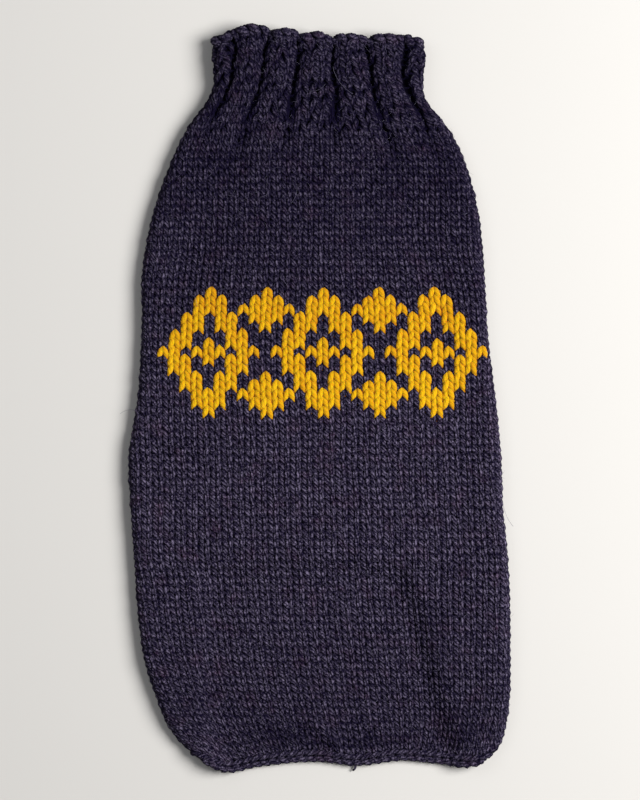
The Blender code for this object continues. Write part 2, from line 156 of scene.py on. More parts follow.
# the collar: a ring of twelve ribs, pressed flat
collar = {
    "length": 52.4,
    "courses": 14,
    "waist": 28.0,
    "ribRise": 2.6,
    "underRise": 1.8,
    "underFlat": 1.3,  # how much flatter the crowns underneath are pressed
    "hollow": 1.2,
    "fade": (0.3, 22.0),  # what is left of the ribs at the foot, and where they start to fade
    "lip": (2.0, 0.82),  # how far down the neck edge is thinner, and how much
    "dipFade": 24.0,
    "spreads": (24.0, 56.0),  # where the drawn-in purl wales start to widen, and where they are as wide
    # furrows between the ribs: x at the neck edge, waist and foot, the edge's dip, run on into the body
    "topFurrows": [
        (-42.4, -42.4, -56.0, 3.4, 12.0), (-23.8, -28.7, -36.2, 2.9, 18.0), (-9.6, -11.5, -15.6, 4.9, 13.0),
        (6.6, 7.6, 8.1, 7.3, 14.0), (23.8, 25.7, 33.1, 6.9, 26.0), (42.6, 42.2, 53.1, 6.2, 30.0),
    ],
    "underFurrows": [
        (-41.0, -41.6, -54.0, 6.0, 0.0), (-26.0, -27.0, -35.0, 6.0, 0.0), (-9.0, -9.5, -13.0, 7.0, 0.0),
        (8.0, 8.5, 10.5, 9.0, 0.0), (24.5, 25.0, 32.0, 9.0, 0.0), (41.5, 41.8, 52.0, 8.5, 0.0),
    ],
    "topDips": [6.0, 0.0, 2.5, 4.4, 4.9, 5.0, 6.4],
    "underDips": [6.0, 4.0, 5.0, 6.5, 7.0, 7.5, 6.4],
    "purlEnds": (34.0, 52.0),
    "furrowDepth": 2.1,  # where the furrows run on into the body
    "furrowWidth": 3.2,
    "wander": (0.7, 5.3, 2.4, 9.0),  # how far a furrow strays, how slowly, its lag on the last, and from where
}
for part, names in ((body, ("outline", "strips", "middle", "creases", "hemWaves", "walePitch")),
                    (collar, ("topFurrows", "underFurrows", "topDips", "underDips"))):
    for name in names:
        part[name] = np.array(part[name], float)


def foldLines(down):  # x of the left and the right fold
    at, left, right = body["outline"].T
    return -through(down, at, left), through(down, at, right)


def stripEdges(down):  # x of the side strips' inner edges
    at, left, right = body["strips"].T
    foldLeft, foldRight = foldLines(down)
    return foldLeft + through(down, at, left), foldRight - through(down, at, right)


def furrowLine(furrow, down):  # straight to the collar's waist, then fanning out to its foot and beyond
    neck, waist, foot = furrow[:3]
    bend = np.array([0.0, collar["waist"], collar["length"], 2 * collar["length"] - collar["waist"]])
    return through(down, bend, np.array([neck, waist, foot, 2 * foot - waist]))


def creaseDepth(crease, x, down):
    # depth times a bell curve of the distance from the crease's line, a tenth of it at the half width
    x0, down0, x1, down1, halfWidth, depth = crease
    alongX, alongDown = x1 - x0, down1 - down0
    t = ((x - x0) * alongX + (down - down0) * alongDown) / (alongX**2 + alongDown**2)
    near = np.clip(t, 0.0, 1.0)
    aside = np.hypot(x - x0 - near * alongX, down - down0 - near * alongDown)
    return depth * np.exp(-((aside / halfWidth * 1.5) ** 2))


def foldHeight(down):  # how high the side folds are: level, then sinking smoothly to the hem
    sink, start = body["foldSink"]
    return body["foldHeight"] - sink * ease(down, start, hemDown)


def topHeight(x, down):
    # two layers high at the sides and over the belly panel, one layer high past that panel's end, with
    # a swell along each fold, less the creases and the ends of the collar's furrows
    foldLeft, foldRight = foldLines(down)
    stripLeft, stripRight = stripEdges(down)
    double = 2 * body["wall"] + body["layerAir"]
    middle = (stripLeft + stripRight) / 2
    bow = body["bellyEndBow"] * ((x - middle) / (stripRight - stripLeft)) ** 2 * 4
    inside = np.minimum(np.minimum(x - stripLeft, stripRight - x), down - body["bellyEnd"] - bow)
    height = double - (double - body["wall"]) * ease(inside, *body["settle"])
    swell = 1.0 - ease(np.minimum(x - foldLeft, foldRight - x) - body["foldReach"], 0.0, body["foldSlope"])
    height += (foldHeight(down) - double) * swell
    rise, reach = body["shoulder"]
    height += rise * (1.0 - ease(down, body["collarFoot"], body["collarFoot"] + reach)) * (1.0 - swell)
    relief = sum(creaseDepth(crease, x, down) for crease in body["creases"])
    for furrow in collar["topFurrows"]:
        fade = 1.0 - ease(down, body["collarFoot"], body["collarFoot"] + furrow[4])
        near = (x - furrowLine(furrow, down)) / collar["furrowWidth"]
        relief = relief + collar["furrowDepth"] * fade * np.exp(-(near**2))
    return np.maximum(height - relief * (1.0 - swell), body["wall"])


def hemDrop(x, down):  # the hem's waves, from nothing at hemWaveReach above it to all of them in the edging
    at, drop = body["hemWaves"].T
    return through(x, at, drop) * ease(down, hemDown - body["hemWaveReach"], body["edgingTop"])


def bodySection(down, stripSteps, foldSteps, topSteps):
    # x and z of each row's outer face: in under the left strip, a half turn round the left fold,
    # over the back, a half turn round the right fold and in under the right strip
    down = down[:, None]
    foldLeft, foldRight = foldLines(down)
    stripLeft, stripRight = stripEdges(down)
    along = np.linspace(0.0, 1.0, stripSteps, endpoint=False)
    turn = np.linspace(0.0, np.pi, foldSteps + 1)
    across = np.linspace(0.0, 1.0, topSteps + 1)[1:-1]
    start, end = foldLeft + body["foldReach"], foldRight - body["foldReach"]
    overX = start + (end - start) * across
    x = np.hstack([
        stripLeft + (start - stripLeft) * along,
        start - body["foldReach"] * np.sin(turn),
        overX,
        end + body["foldReach"] * np.sin(turn[::-1]),
        stripRight + (end - stripRight) * along[::-1],
    ])
    flat = np.zeros((len(down), stripSteps))
    roundUp = foldHeight(down) / 2 * (1 - np.cos(turn))
    over = topHeight(overX, np.broadcast_to(down, overX.shape))
    return x, np.hstack([flat, roundUp, over, roundUp[:, ::-1], flat])


def asCloth(x, y, z, firstDown, downStep, firstColumn, columnStep):
    # a face as a grid that can be read between its points, with its outward normals
    point = np.stack([x, y, z], axis=-1)
    normal = unit(np.cross(np.gradient(point, axis=0), np.gradient(point, axis=1)))
    return {"point": point, "normal": normal, "down": (firstDown, downStep),
            "column": (firstColumn, columnStep)}


def onCloth(cloth, column, down):  # point and normal, mixed from the four grid points round a place
    i = (down - cloth["down"][0]) / cloth["down"][1]
    j = (column - cloth["column"][0]) / cloth["column"][1]
    rows, columns = cloth["point"].shape[:2]
    i, j = np.clip(i, 0.0, rows - 1.001), np.clip(j, 0.0, columns - 1.001)
    i0, j0 = i.astype(int), j.astype(int)
    di, dj = (i - i0)[..., None], (j - j0)[..., None]
    found = []
    for grid in (cloth["point"], cloth["normal"]):
        near = grid[i0, j0] * (1 - dj) + grid[i0, j0 + 1] * dj
        far = grid[i0 + 1, j0] * (1 - dj) + grid[i0 + 1, j0 + 1] * dj
        found.append(near * (1 - di) + far * di)
    return found[0], unit(found[1])


def lengthAlong(x, z):  # how far each point of a row is along it from the row's first
    length = np.hypot(np.diff(x, axis=1), np.diff(z, axis=1)).cumsum(axis=1)
    return np.hstack([np.zeros((len(x), 1)), length])


def bodyCloth():
    # rows a millimetre apart and past both ends, columns half a millimetre apart along the cloth from
    # its middle wale
    above, below, halfWidth, columnStep = 6.0, 4.0, 170.0, 0.5
    down = np.arange(body["collarFoot"] - above, hemDown + below, 1.0)
    inside = np.clip(down, body["collarFoot"], hemDown)
    stripSteps, foldSteps, topSteps = 30, 24, 260
    x, z = bodySection(inside, stripSteps, foldSteps, topSteps)
    length = lengthAlong(x, z)
    middle = through(inside, *body["middle"].T)
    column = np.arange(-halfWidth, halfWidth + columnStep, columnStep)
    over = slice(stripSteps + foldSteps + 1, -stripSteps - foldSteps - 1)
    newX, newZ, edges, folds = [], [], [], []
    for row in range(len(down)):
        along = length[row] - np.interp(middle[row], x[row, over], length[row, over])
        newX.append(np.interp(column, along, x[row]))
        newZ.append(np.interp(column, along, z[row]))
        edges.append((along[0], along[-1]))
        folds.append((-along[x[row].argmin()], along[x[row].argmax()]))
    x, z = np.array(newX), np.array(newZ)
    y = neckY - down[:, None] - hemDrop(x, inside[:, None])
    cloth = asCloth(x, y, z, down[0], 1.0, column[0], columnStep)
    cloth["edges"] = (down, np.array(edges))
    cloth["folds"] = (down, *np.array(folds).T)
    return cloth


def ribHeight(place):  # from 0 in one furrow over a full crown to 0 in the next
    return np.sin(np.pi * np.clip(place, 0.0, 1.0)) ** 0.7


def ribPlace(wale, spread):
    # place across a rib of a wale from 0 to 4: three knit wales fill the crown and its slopes, and the
    # purl wale between two ribs is drawn together in the furrow
    drawn = np.interp(wale, [0, 0.5, 1.5, 2.5, 3.5, 4], [0.0, 0.06, 0.34, 0.66, 0.94, 1.0])
    return drawn * (1 - spread) + wale / 4 * spread


def collarRibs(inside):
    # x, z and the edge's dip of twelve ribs, and how high the ring's middle is. Each layer's ribs go up and
    # down by ribHeight from furrow to furrow, and a half turn round each side joins the layers
    fade = 1.0 - (1.0 - collar["fade"][0]) * ease(inside, collar["fade"][1], collar["length"])
    rise, underRise = collar["ribRise"] * fade, collar["underRise"] * fade
    foldLeft, foldRight = foldLines(inside)
    radius = collar["hollow"] / 2
    endWall = body["wall"] + (rise + underRise) / 2
    ends = [foldLeft + radius + endWall, foldRight - radius - endWall]
    middle = body["wall"] + underRise + radius
    steps = np.linspace(0.0, 1.0, 25)
    angle = np.pi * steps
    stray, slow, lag, strayFrom = collar["wander"]

    def layer(furrows, dips, top):
        # x, z and the edge's dip of seven ribs, of which the first and last are only half a rib
        strays = stray * ease(inside, 0, strayFrom)
        lines = [furrowLine(furrow, inside) + strays * np.sin(inside / slow + lag * i)
                 for i, furrow in enumerate(furrows)]
        lines = [ends[0], *lines, ends[1]]
        last = len(furrows)
        parts = []
        for i, crown in enumerate(dips):
            x = lines[i] + (lines[i + 1] - lines[i]) * steps
            rib = ribHeight({0: (steps + 1) / 2, last: steps / 2}.get(i, steps))
            before, after = furrows[max(i - 1, 0)][3], furrows[min(i, last - 1)][3]
            valley = before + (after - before) * steps
            dip = valley + (crown - valley) * {0: 1 - steps, last: steps}.get(i, rib)
            if top:
                z = middle + radius + body["wall"] + rise * rib
            else:
                z = middle - radius - body["wall"] - underRise * np.minimum(1.0, collar["underFlat"] * rib)
            parts.append((x, z, np.broadcast_to(dip, x.shape)))
        return parts

    def turnRound(end, side, dipFrom, dipTo):
        # the half turn at a side fold, from the upper layer down by the cosine and out by the sine
        share = (1 + np.cos(angle)) / 2
        out = radius + body["wall"] + rise * share + underRise * (1 - share)
        return (end + side * out * np.sin(angle), middle + out * np.cos(angle),
                np.broadcast_to(dipFrom + (dipTo - dipFrom) * (1 - share), out.shape))

    def back(part):  # the same the other way round
        return tuple(a[:, ::-1] for a in part)

    def joined(*parts):  # one after the other
        return tuple(np.hstack(arrays) for arrays in zip(*parts))

    over = layer(collar["topFurrows"], collar["topDips"], True)
    under = layer(collar["underFurrows"], collar["underDips"], False)
    rightTurn = turnRound(ends[1], 1, collar["topDips"][-1], collar["underDips"][-1])
    leftTurn = turnRound(ends[0], -1, collar["topDips"][0], collar["underDips"][0])
    ribs = [*over[1:6], joined(over[6], rightTurn, back(under[6])),
            *map(back, under[5:0:-1]), joined(back(under[0]), back(leftTurn), over[0])]
    return ribs, middle


def collarCloth():  # rows a millimetre apart. The columns count wales round the ring, four to a rib
    above, below = 1.0, 4.0
    down = np.arange(-above, collar["length"] + below, 1.0)
    inside = np.clip(down, 0.0, collar["length"])[:, None]
    ribs, middle = collarRibs(inside)
    fine = 8  # columns to a wale
    spread = ease(inside[:, 0], *collar["spreads"])
    wale = np.linspace(0.0, 4.0, 4 * fine + 1)
    columns = []
    for x, z, dip in ribs:
        length = lengthAlong(x, z)
        length /= length[:, -1:]
        places = [ribPlace(wale, spread[row]) for row in range(len(down))]
        rows = [[np.interp(place, length[row], a[row]) for a in (x, z, dip)]
                for row, place in enumerate(places)]
        columns.append(np.array(rows)[:, :, :-1])
    columns.append(columns[0][:, :, :1])
    x, z, dip = np.concatenate(columns, axis=2).transpose(1, 0, 2)
    lip = 1 - (1 - collar["lip"][1]) * (1 - ease(inside, 0.0, collar["lip"][0]))
    z = middle + (z - middle) * lip
    y = neckY - down[:, None] - dip * (1.0 - ease(inside, 0.0, collar["dipFade"]))
    # a wale before the first and after the last, so that the ring closes smoothly
    x, y, z = (np.hstack([a[:, -fine - 1 : -1], a, a[:, 1 : fine + 1]]) for a in (x, y, np.maximum(z, 0.0)))
    return asCloth(x, y, z, down[0], 1.0, -1.0, 1 / fine)


# the belly panel: flat, with a leg opening scooped out of each side
belly = {
    "end": body["bellyEnd"],
    "bow": body["bellyEndBow"],
    "bowStart": 60.0,  # how far above its end the rows begin to bow
    "openingDown": 129.0,
    "openingLength": 58.0,
    "openingWidth": 24.0,
    "seamGap": 0.3,
    "walePitch": 5.5,  # the scene's stitches here
    "coursePitch": 3.8,
    "middle": -4.0,  # x of its middle wale
    "knitGap": (1.0, 3.0),  # cloth left free of stitches at the collar's foot and above the bound edge
    "samples": 10,
    "high": 0.95,
}


def bellyEdges(down):  # the panel's sides: the strips' edges, less each leg opening's round scoop
    left, right = stripEdges(down)
    half = belly["openingLength"] / 2
    turn = np.clip((down - belly["openingDown"]) / half, -1.0, 1.0)
    scoop = belly["openingWidth"] * np.maximum(1 - turn**2, 0.0) ** 0.35
    return left + belly["seamGap"] + scoop, right - belly["seamGap"] - scoop


def newPiece(name, points, faces, material):  # a smooth mesh from points in millimetres
    mesh = bpy.data.meshes.new(name)
    mesh.from_pydata(points * mm, [], faces)
    mesh.shade_smooth()
    mesh.materials.append(material)
    piece = bpy.data.objects.new(name, mesh)
    bpy.context.scene.collection.objects.link(piece)
    return piece


def quads(index):  # the cells of a grid of point numbers
    return np.stack([index[:-1, :-1], index[1:, :-1], index[1:, 1:], index[:-1, 1:]], axis=-1).reshape(-1, 4)


def addWall(name, outer, inner, material, ring=False):
    # a closed wall between two grids of points: both faces, both end rows and, unless it is a ring,
    # both sides
    rows, columns = outer.shape[:2]
    index = np.arange(2 * rows * columns).reshape(2, rows, columns)
    if ring:
        index = np.concatenate([index, index[:, :, :1]], axis=2)
    faces = [quads(index[0]), quads(index[1])[:, ::-1], quads(index[:, 0, :])[:, ::-1], quads(index[:, -1, :])]
    if not ring:
        faces += [quads(index[:, :, 0]), quads(index[:, :, -1])[:, ::-1]]
    points = np.concatenate([outer.reshape(-1, 3), inner.reshape(-1, 3)])
    return newPiece(name, points, np.concatenate(faces).tolist(), material)


# how dark the wool is painted: down the cloth, darkest at the collar, partly the wool's own darkness and partly
# painted shade where the light falls off; and painted shade in the cloth's hollows, given as x, down, half
# width, half length, share
paintedShade = {
    "down": [(0.0, 0.45), (52.4, 0.47), (85.0, 0.51), (105.0, 0.56), (135.0, 0.71), (190.0, 0.84),
             (260.0, 0.84), (300.0, 0.76), (330.0, 0.7), (365.0, 0.68)],
    # how steeply the painted shade between stitches falls, down the cloth: steepest at the collar
    "contrast": [(0.0, 3.2), (85.0, 3.2), (190.0, 0.75), (310.0, 0.8), (345.0, 1.7)],
    "hollows": [(-19.0, 349.0, 14.0, 6.5, 0.6), (74.0, 346.0, 7.0, 7.0, 0.45), (20.0, 352.0, 46.0, 3.5, 0.4),
                (-62.0, 336.0, 9.0, 9.0, 0.25), (-46.0, 66.0, 7.0, 9.0, 0.4), (38.0, 72.0, 6.0, 14.0, 0.35),
                (63.0, 78.0, 7.0, 12.0, 0.3), (58.0, 302.0, 5.0, 26.0, 0.22), (65.0, 342.0, 12.0, 10.0, 0.2)],
    "cavity": (-1.35, 0.5),  # the heights, from the cloth's face, between which the light is lost
    # the least light that the painted shade leaves
    "deepest": 0.03,
    # painted shade along each of the collar's furrows, also where a furrow runs on into the body
    "furrow": (4.0, 0.62),  # a furrow's half width and share
    "onCollar": (0.62, 36.0, 50.0),  # what of that shows on the collar, and where it grows to all of it
}


def paintedShadeAt(point):
    # the painted shade at each point: one number down the cloth, less each hollow's share times a bell curve of
    # the distance from it, and less each furrow's share along its line
    down = neckY - point[:, 1]
    tone = np.interp(down, *np.array(paintedShade["down"]).T)
    for x, at, halfWidth, halfLength, share in paintedShade["hollows"]:
        away = ((point[:, 0] - x) / halfWidth) ** 2 + ((down - at) / halfLength) ** 2
        tone = tone * (1 - share * np.exp(-away))
    halfWidth, share = paintedShade["furrow"]
    onCollar, *grows = paintedShade["onCollar"]
    for furrow in collar["topFurrows"]:
        run = onCollar + (1 - onCollar) * ease(down, *grows)
        run = run * (1 - ease(down, collar["length"], collar["length"] + furrow[4]))
        tone = tone * (1 - share * run * np.exp(-(((point[:, 0] - furrowLine(furrow, down)) / halfWidth) ** 2)))
    return tone


def lightOn(centre, along, high, angle, inward, shadeAndTone, flank):
    # painted shade: how much light gets to each point of a tube between the stitches, as a factor on its
    # colour: all of it at the cloth's face, then a smooth step inward to a power, times the painted shade there
    # and each stitch's notch and tone. A steep leg is painted darker on one side, by flank times the cosine of
    # the turn
    down = neckY - centre[:, 1]
    lit = ease(inward[:, None] + high[:, None] * np.sin(angle), *paintedShade["cavity"])
    lit = lit ** np.interp(down, *np.array(paintedShade["contrast"]).T)[:, None]
    shade = (paintedShade["deepest"] + (1 - paintedShade["deepest"]) * lit) * (paintedShadeAt(centre) * shadeAndTone)[:, None]
    return shade * (1 - flank * np.abs(along[:, 1:2]) * np.cos(angle))


# the yarn's maps: over what length the plies may start elsewhere, how long a strand is to its lane's
# width, and the gaps left between lanes and past their ends
yarnMaps = {"seed": 7, "start": 8.6, "lane": 8.5, "gap": 0.04, "endGap": 0.01}
floorGap = 0.02  # nothing reaches below what it lies on


def addYarnMaps(piece, strand, step, sides, first, starts, ends):
    # "yarn" holds millimetres along the yarn and turns round it. "OFBake" holds every strand once, side
    # by side in rows of lanes, for maps painted on the piece
    def addMap(name, along, v, capV):  # u from each sample's place along, first for the sides, then the caps
        corners = np.stack([along[first], along[first], along[first + 1], along[first + 1]], axis=-1)
        u = np.repeat(corners[:, None], sides, 1)
        capU = np.concatenate([np.repeat(along[starts], sides), np.repeat(along[ends], sides)])
        uv = np.stack([np.append(u, capU), np.append(v, capV)], axis=-1).astype(np.float32)
        piece.data.uv_layers.new(name=name).uv.foreach_set("vector", uv.ravel())

    count = strand.max() + 1
    turn = np.arange(sides) / sides
    v = np.stack([turn, turn + 1 / sides, turn + 1 / sides, turn], axis=-1)
    v = np.broadcast_to(v, (len(first), sides, 4))
    capV = np.concatenate([np.tile(turn[::-1], len(starts)), np.tile(turn, len(ends))])
    arc = np.append(0.0, np.linalg.norm(step, axis=1).cumsum())
    arc += np.random.default_rng(yarnMaps["seed"]).uniform(0, yarnMaps["start"], count)[strand]
    addMap("yarn", arc, v, capV)

    start = np.array([arc[strand == s].min() for s in range(count)])
    total = np.array([arc[strand == s].max() for s in range(count)]) - start
    lanes = max(1, round(float(np.sqrt(count * yarnMaps["lane"] / max(total.mean(), 1.0)))))
    gap, endGap = yarnMaps["gap"], yarnMaps["endGap"]
    place = (arc - start[strand]) / total.max() * (1 - 2 * endGap) + endGap
    capStrand = np.concatenate([np.repeat(strand[starts], sides), np.repeat(strand[ends], sides)])

    def inRow(which, turns):  # the strand's row, and round it between the gaps
        return (which // lanes + gap + (1 - 2 * gap) * turns) / -(-count // lanes)

    addMap("OFBake", ((strand % lanes) + place) / lanes, inRow(strand[first][:, None, None], v),
           inRow(capStrand, capV))


def addTubes(name, strand, centre, lift, across, high, sides, material, inward=None, shadeAndTone=1.0, flank=0.0):
    # many strands of yarn in one mesh. Each strand's skin is its centre line, plus across times the
    # cosine of the turn sideways, plus high times the sine along the cloth's normal
    same = strand[1:] == strand[:-1]
    step = np.where(same[:, None], centre[1:] - centre[:-1], 0.0)
    nothing = np.zeros((1, 3))
    along = unit(np.vstack([step, nothing]) + np.vstack([nothing, step]))
    side = unit(np.cross(lift, along))
    lift = np.cross(along, side)
    angle = full * np.arange(sides) / sides - np.pi / 2
    points = (centre[:, None] + (across[:, None] * np.cos(angle))[..., None] * side[:, None]
              + (high[:, None] * np.sin(angle))[..., None] * lift[:, None])
    points[..., 2] = np.maximum(points[..., 2], floorGap)
    ring = np.arange(len(centre))[:, None] * sides + np.arange(sides + 1) % sides
    first = np.flatnonzero(same)
    faces = np.stack([ring[first, :-1], ring[first, 1:], ring[first + 1, 1:], ring[first + 1, :-1]], axis=-1)
    starts = np.flatnonzero(np.append(True, ~same))
    ends = np.flatnonzero(np.append(~same, True))
    caps = [*ring[starts, :-1][:, ::-1].tolist(), *ring[ends, :-1].tolist()]
    piece = newPiece(name, points.reshape(-1, 3), faces.reshape(-1, 4).tolist() + caps, material)
    addYarnMaps(piece, strand, step, sides, first, starts, ends)
    # painted shade between the stitches, kept on each point for the yarn's colour to read
    shade = np.ones((len(centre), sides))
    if inward is not None:
        shade = lightOn(centre, along, high, angle, inward, shadeAndTone, flank)
    dark = piece.data.attributes.new("shade", "FLOAT", "POINT")
    dark.data.foreach_set("value", shade.ravel().astype(np.float32))
    print(f"  {name}: {2 * len(faces) * sides + (sides - 2) * len(caps)} triangles")
    return piece


# materials
def linear(hexColour):  # sRGB hex to linear RGBA
    srgb = np.array([int(hexColour[i : i + 2], 16) for i in (1, 3, 5)]) / 255
    rgb = np.where(srgb <= 0.04045, srgb / 12.92, ((srgb + 0.055) / 1.055) ** 2.4)
    return (*rgb.tolist(), 1.0)


def addNode(tree, kind, settings=None, **inputs):
    # settings are the node's own properties, inputs are values or sockets to link. An input named
    # in0, in1 and so on goes by its number
    node = tree.nodes.new(kind)
    for name, value in (settings or {}).items():
        setattr(node, name, value)
    for name, value in inputs.items():
        socket = node.inputs[int(name[2:])] if name[:2] == "in" and name[2:].isdigit() else node.inputs[name]
        if isinstance(value, bpy.types.NodeSocket):
            tree.links.new(value, socket)
        else:
            socket.default_value = value
    return node


def newMaterial(name):  # a material, its node tree and its shader
    material = bpy.data.materials.new(name)
    material.use_nodes = True
    return material, material.node_tree, material.node_tree.nodes["Principled BSDF"]


# what both yarns share: their dullness, their single fibres and the light that goes through them
wool = {
    "patchFrom": 0.52,
    "patchTo": 0.72,
    "fibreScale": 3200.0,
    "fibreHeight": 0.35,
    "roughness": 0.9,
    "sheenRoughness": 0.6,
    "softColour": (1.0, 0.3, 0.05),
    "softReach": 1.2,
}
navyLook = {
    "plies": 4, "plyPitch": 2.9, "plyHeight": 0.6, "plyRound": 0.9, "wander": 0.9,
    "fleckScale": 1000.0, "heatherScale": 560.0, "heather": 0.2, "fleckFrom": 0.51, "fleckTo": 0.69,
    "patchScale": 110.0, "patchMost": 0.26,
    # the painted shade colour, in the ply grooves and deep between stitches, and how much of the dye is left at
    # a groove's bottom
    "dark": "#0d0620", "light": "#776e87", "patch": "#5c394d", "grooveShade": "#06021a", "grooveDark": 0.08,
    "gloss": 0.05, "sheen": 0.02, "bloom": "#9a98b0", "soft": 0.0,
}
yellowLook = {
    "plies": 4, "plyPitch": 2.3, "plyHeight": 0.15, "plyRound": 0.6, "wander": 0.5,
    "fleckScale": 600.0, "heatherScale": 210.0, "heather": 0.3, "fleckFrom": 0.42, "fleckTo": 0.9,
    "patchScale": 80.0, "patchMost": 0.3,
    # the painted shade colour, in the ply grooves and deep between stitches, and how much of the dye is left at
    # a groove's bottom
    "dark": "#d6a600", "light": "#d9ae12", "patch": "#cc9900", "grooveShade": "#9a4f00", "grooveDark": 0.85,
    "gloss": 0.04, "sheen": 0.15, "bloom": "#ffeebb", "soft": 0.35,
}


def plyRidges(tree, heather, look):
    # |sin(pi * (plies * turn + length / pitch + wander))|, to a power that rounds the ridges
    yarnMap = addNode(tree, "ShaderNodeUVMap", {"uv_map": "yarn"})
    place = addNode(tree, "ShaderNodeSeparateXYZ", in0=yarnMap.outputs[0])
    wander = addNode(tree, "ShaderNodeMath", {"operation": "MULTIPLY"}, in0=heather.outputs[0],
                     in1=look["wander"])
    onPly = addNode(tree, "ShaderNodeMath", {"operation": "MULTIPLY_ADD"}, in0=place.outputs[0],
                    in1=1 / look["plyPitch"], in2=wander.outputs[0])
    phase = addNode(tree, "ShaderNodeMath", {"operation": "MULTIPLY_ADD"}, in0=place.outputs[1],
                    in1=float(look["plies"]), in2=onPly.outputs[0])
    turned = addNode(tree, "ShaderNodeMath", {"operation": "MULTIPLY"}, in0=phase.outputs[0], in1=np.pi)
    wave = addNode(tree, "ShaderNodeMath", {"operation": "SINE"}, in0=turned.outputs[0])
    ridge = addNode(tree, "ShaderNodeMath", {"operation": "ABSOLUTE"}, in0=wave.outputs[0])
    return addNode(tree, "ShaderNodeMath", {"operation": "POWER"}, in0=ridge.outputs[0], in1=look["plyRound"])


def woolYarn(name, look):
    # plied wool yarn: soft ridges wind round it, the grooves between them are painted darker as shade, and
    # fibres of several dyes lie side by side in it. Wool has no shine, only a pale bloom of loose fibres
    material, tree, shader = newMaterial(name)
    coords = addNode(tree, "ShaderNodeTexCoord")
    # patches a stitch wide: the plies wander a little there, and some of them took the dye better
    heather = addNode(tree, "ShaderNodeTexNoise", Vector=coords.outputs["Object"], Scale=look["heatherScale"],
                      Detail=1.0)
    ply = plyRidges(tree, heather, look)
    # flecks of lighter fibre, about as wide as a ply
    fleck = addNode(tree, "ShaderNodeTexNoise", Vector=coords.outputs["Object"], Scale=look["fleckScale"],
                    Detail=3.0, Roughness=0.7)
    mixed = addNode(tree, "ShaderNodeMath", {"operation": "MULTIPLY_ADD"}, in0=heather.outputs[0],
                    in1=look["heather"], in2=fleck.outputs[0])
    fleckShare = addNode(tree, "ShaderNodeMapRange", in0=mixed.outputs[0], in1=look["fleckFrom"],
                         in2=look["fleckTo"])
    dye = addNode(tree, "ShaderNodeMix", {"data_type": "RGBA"}, Factor=fleckShare.outputs[0],
                  in6=linear(look["dark"]), in7=linear(look["light"]))
    # longer stretches of another dye
    patch = addNode(tree, "ShaderNodeTexNoise", Vector=coords.outputs["Object"], Scale=look["patchScale"],
                    Detail=2.0, Roughness=0.5)
    patchShare = addNode(tree, "ShaderNodeMapRange", in0=patch.outputs[0], in1=wool["patchFrom"],
                         in2=wool["patchTo"], in3=0.0, in4=look["patchMost"])
    dyed = addNode(tree, "ShaderNodeMix", {"data_type": "RGBA"}, Factor=patchShare.outputs[0],
                   in6=dye.outputs[2], in7=linear(look["patch"]))
    # painted shade: the grooves between plies, and what lies deep between stitches, mixed towards the shade
    # colour
    grooveShade = addNode(tree, "ShaderNodeMapRange", in0=ply.outputs[0], in3=look["grooveDark"], in4=1.0)
    deep = addNode(tree, "ShaderNodeAttribute", {"attribute_name": "shade"})
    both = addNode(tree, "ShaderNodeMath", {"operation": "MULTIPLY"}, in0=grooveShade.outputs[0],
                   in1=deep.outputs[2])
    colour = addNode(tree, "ShaderNodeMix", {"data_type": "RGBA"}, Factor=both.outputs[0],
                     in6=linear(look["grooveShade"]), in7=dyed.outputs[2])
    tree.links.new(colour.outputs[2], shader.inputs["Base Color"])
    fibre = addNode(tree, "ShaderNodeTexNoise", Vector=coords.outputs["Object"], Scale=wool["fibreScale"],
                    Detail=2.0)
    height = addNode(tree, "ShaderNodeMath", {"operation": "MULTIPLY_ADD"}, in0=fibre.outputs[0],
                     in1=wool["fibreHeight"], in2=ply.outputs[0])
    bump = addNode(tree, "ShaderNodeBump", Height=height.outputs[0], Strength=1.0,
                   Distance=look["plyHeight"] * mm)
    tree.links.new(bump.outputs[0], shader.inputs["Normal"])
    shader.inputs["Roughness"].default_value = wool["roughness"]
    shader.inputs["Specular IOR Level"].default_value = look["gloss"]
    shader.inputs["Sheen Weight"].default_value = look["sheen"]
    shader.inputs["Sheen Roughness"].default_value = wool["sheenRoughness"]
    shader.inputs["Sheen Tint"].default_value = linear(look["bloom"])
    # light that comes out of the yarn again beside where it went in
    shader.inputs["Subsurface Weight"].default_value = look["soft"]
    shader.inputs["Subsurface Radius"].default_value = wool["softColour"]
    shader.inputs["Subsurface Scale"].default_value = wool["softReach"] * mm
    return material


# the wrong side's colours, painted near black as shade
inner = {"loopScale": 320.0, "loopDepth": 1.0, "light": "#0c0818", "dark": "#05030c", "roughness": 0.95,
         "gloss": 0.05}


def innerWool():
    # the wrong side of the knitting, seen only deep between stitches and inside: navy, painted almost black as
    # shade
    material, tree, shader = newMaterial("shadedInnerNavyWool")
    coords = addNode(tree, "ShaderNodeTexCoord")
    loops = addNode(tree, "ShaderNodeTexVoronoi", Vector=coords.outputs["Object"], Scale=inner["loopScale"])
    tone = addNode(tree, "ShaderNodeMix", {"data_type": "RGBA"}, Factor=loops.outputs[0],
                   in6=linear(inner["light"]), in7=linear(inner["dark"]))
    tree.links.new(tone.outputs[2], shader.inputs["Base Color"])
    bump = addNode(tree, "ShaderNodeBump", Height=loops.outputs[0], Strength=1.0,
                   Distance=-inner["loopDepth"] * mm)
    tree.links.new(bump.outputs[0], shader.inputs["Normal"])
    shader.inputs["Roughness"].default_value = inner["roughness"]
    shader.inputs["Specular IOR Level"].default_value = inner["gloss"]
    return material


navyYarn = woolYarn("pliedNavyHeatherWool", navyLook)
yellowYarn = woolYarn("pliedYellowWool", yellowLook)
lining = innerWool()
print("materials made")

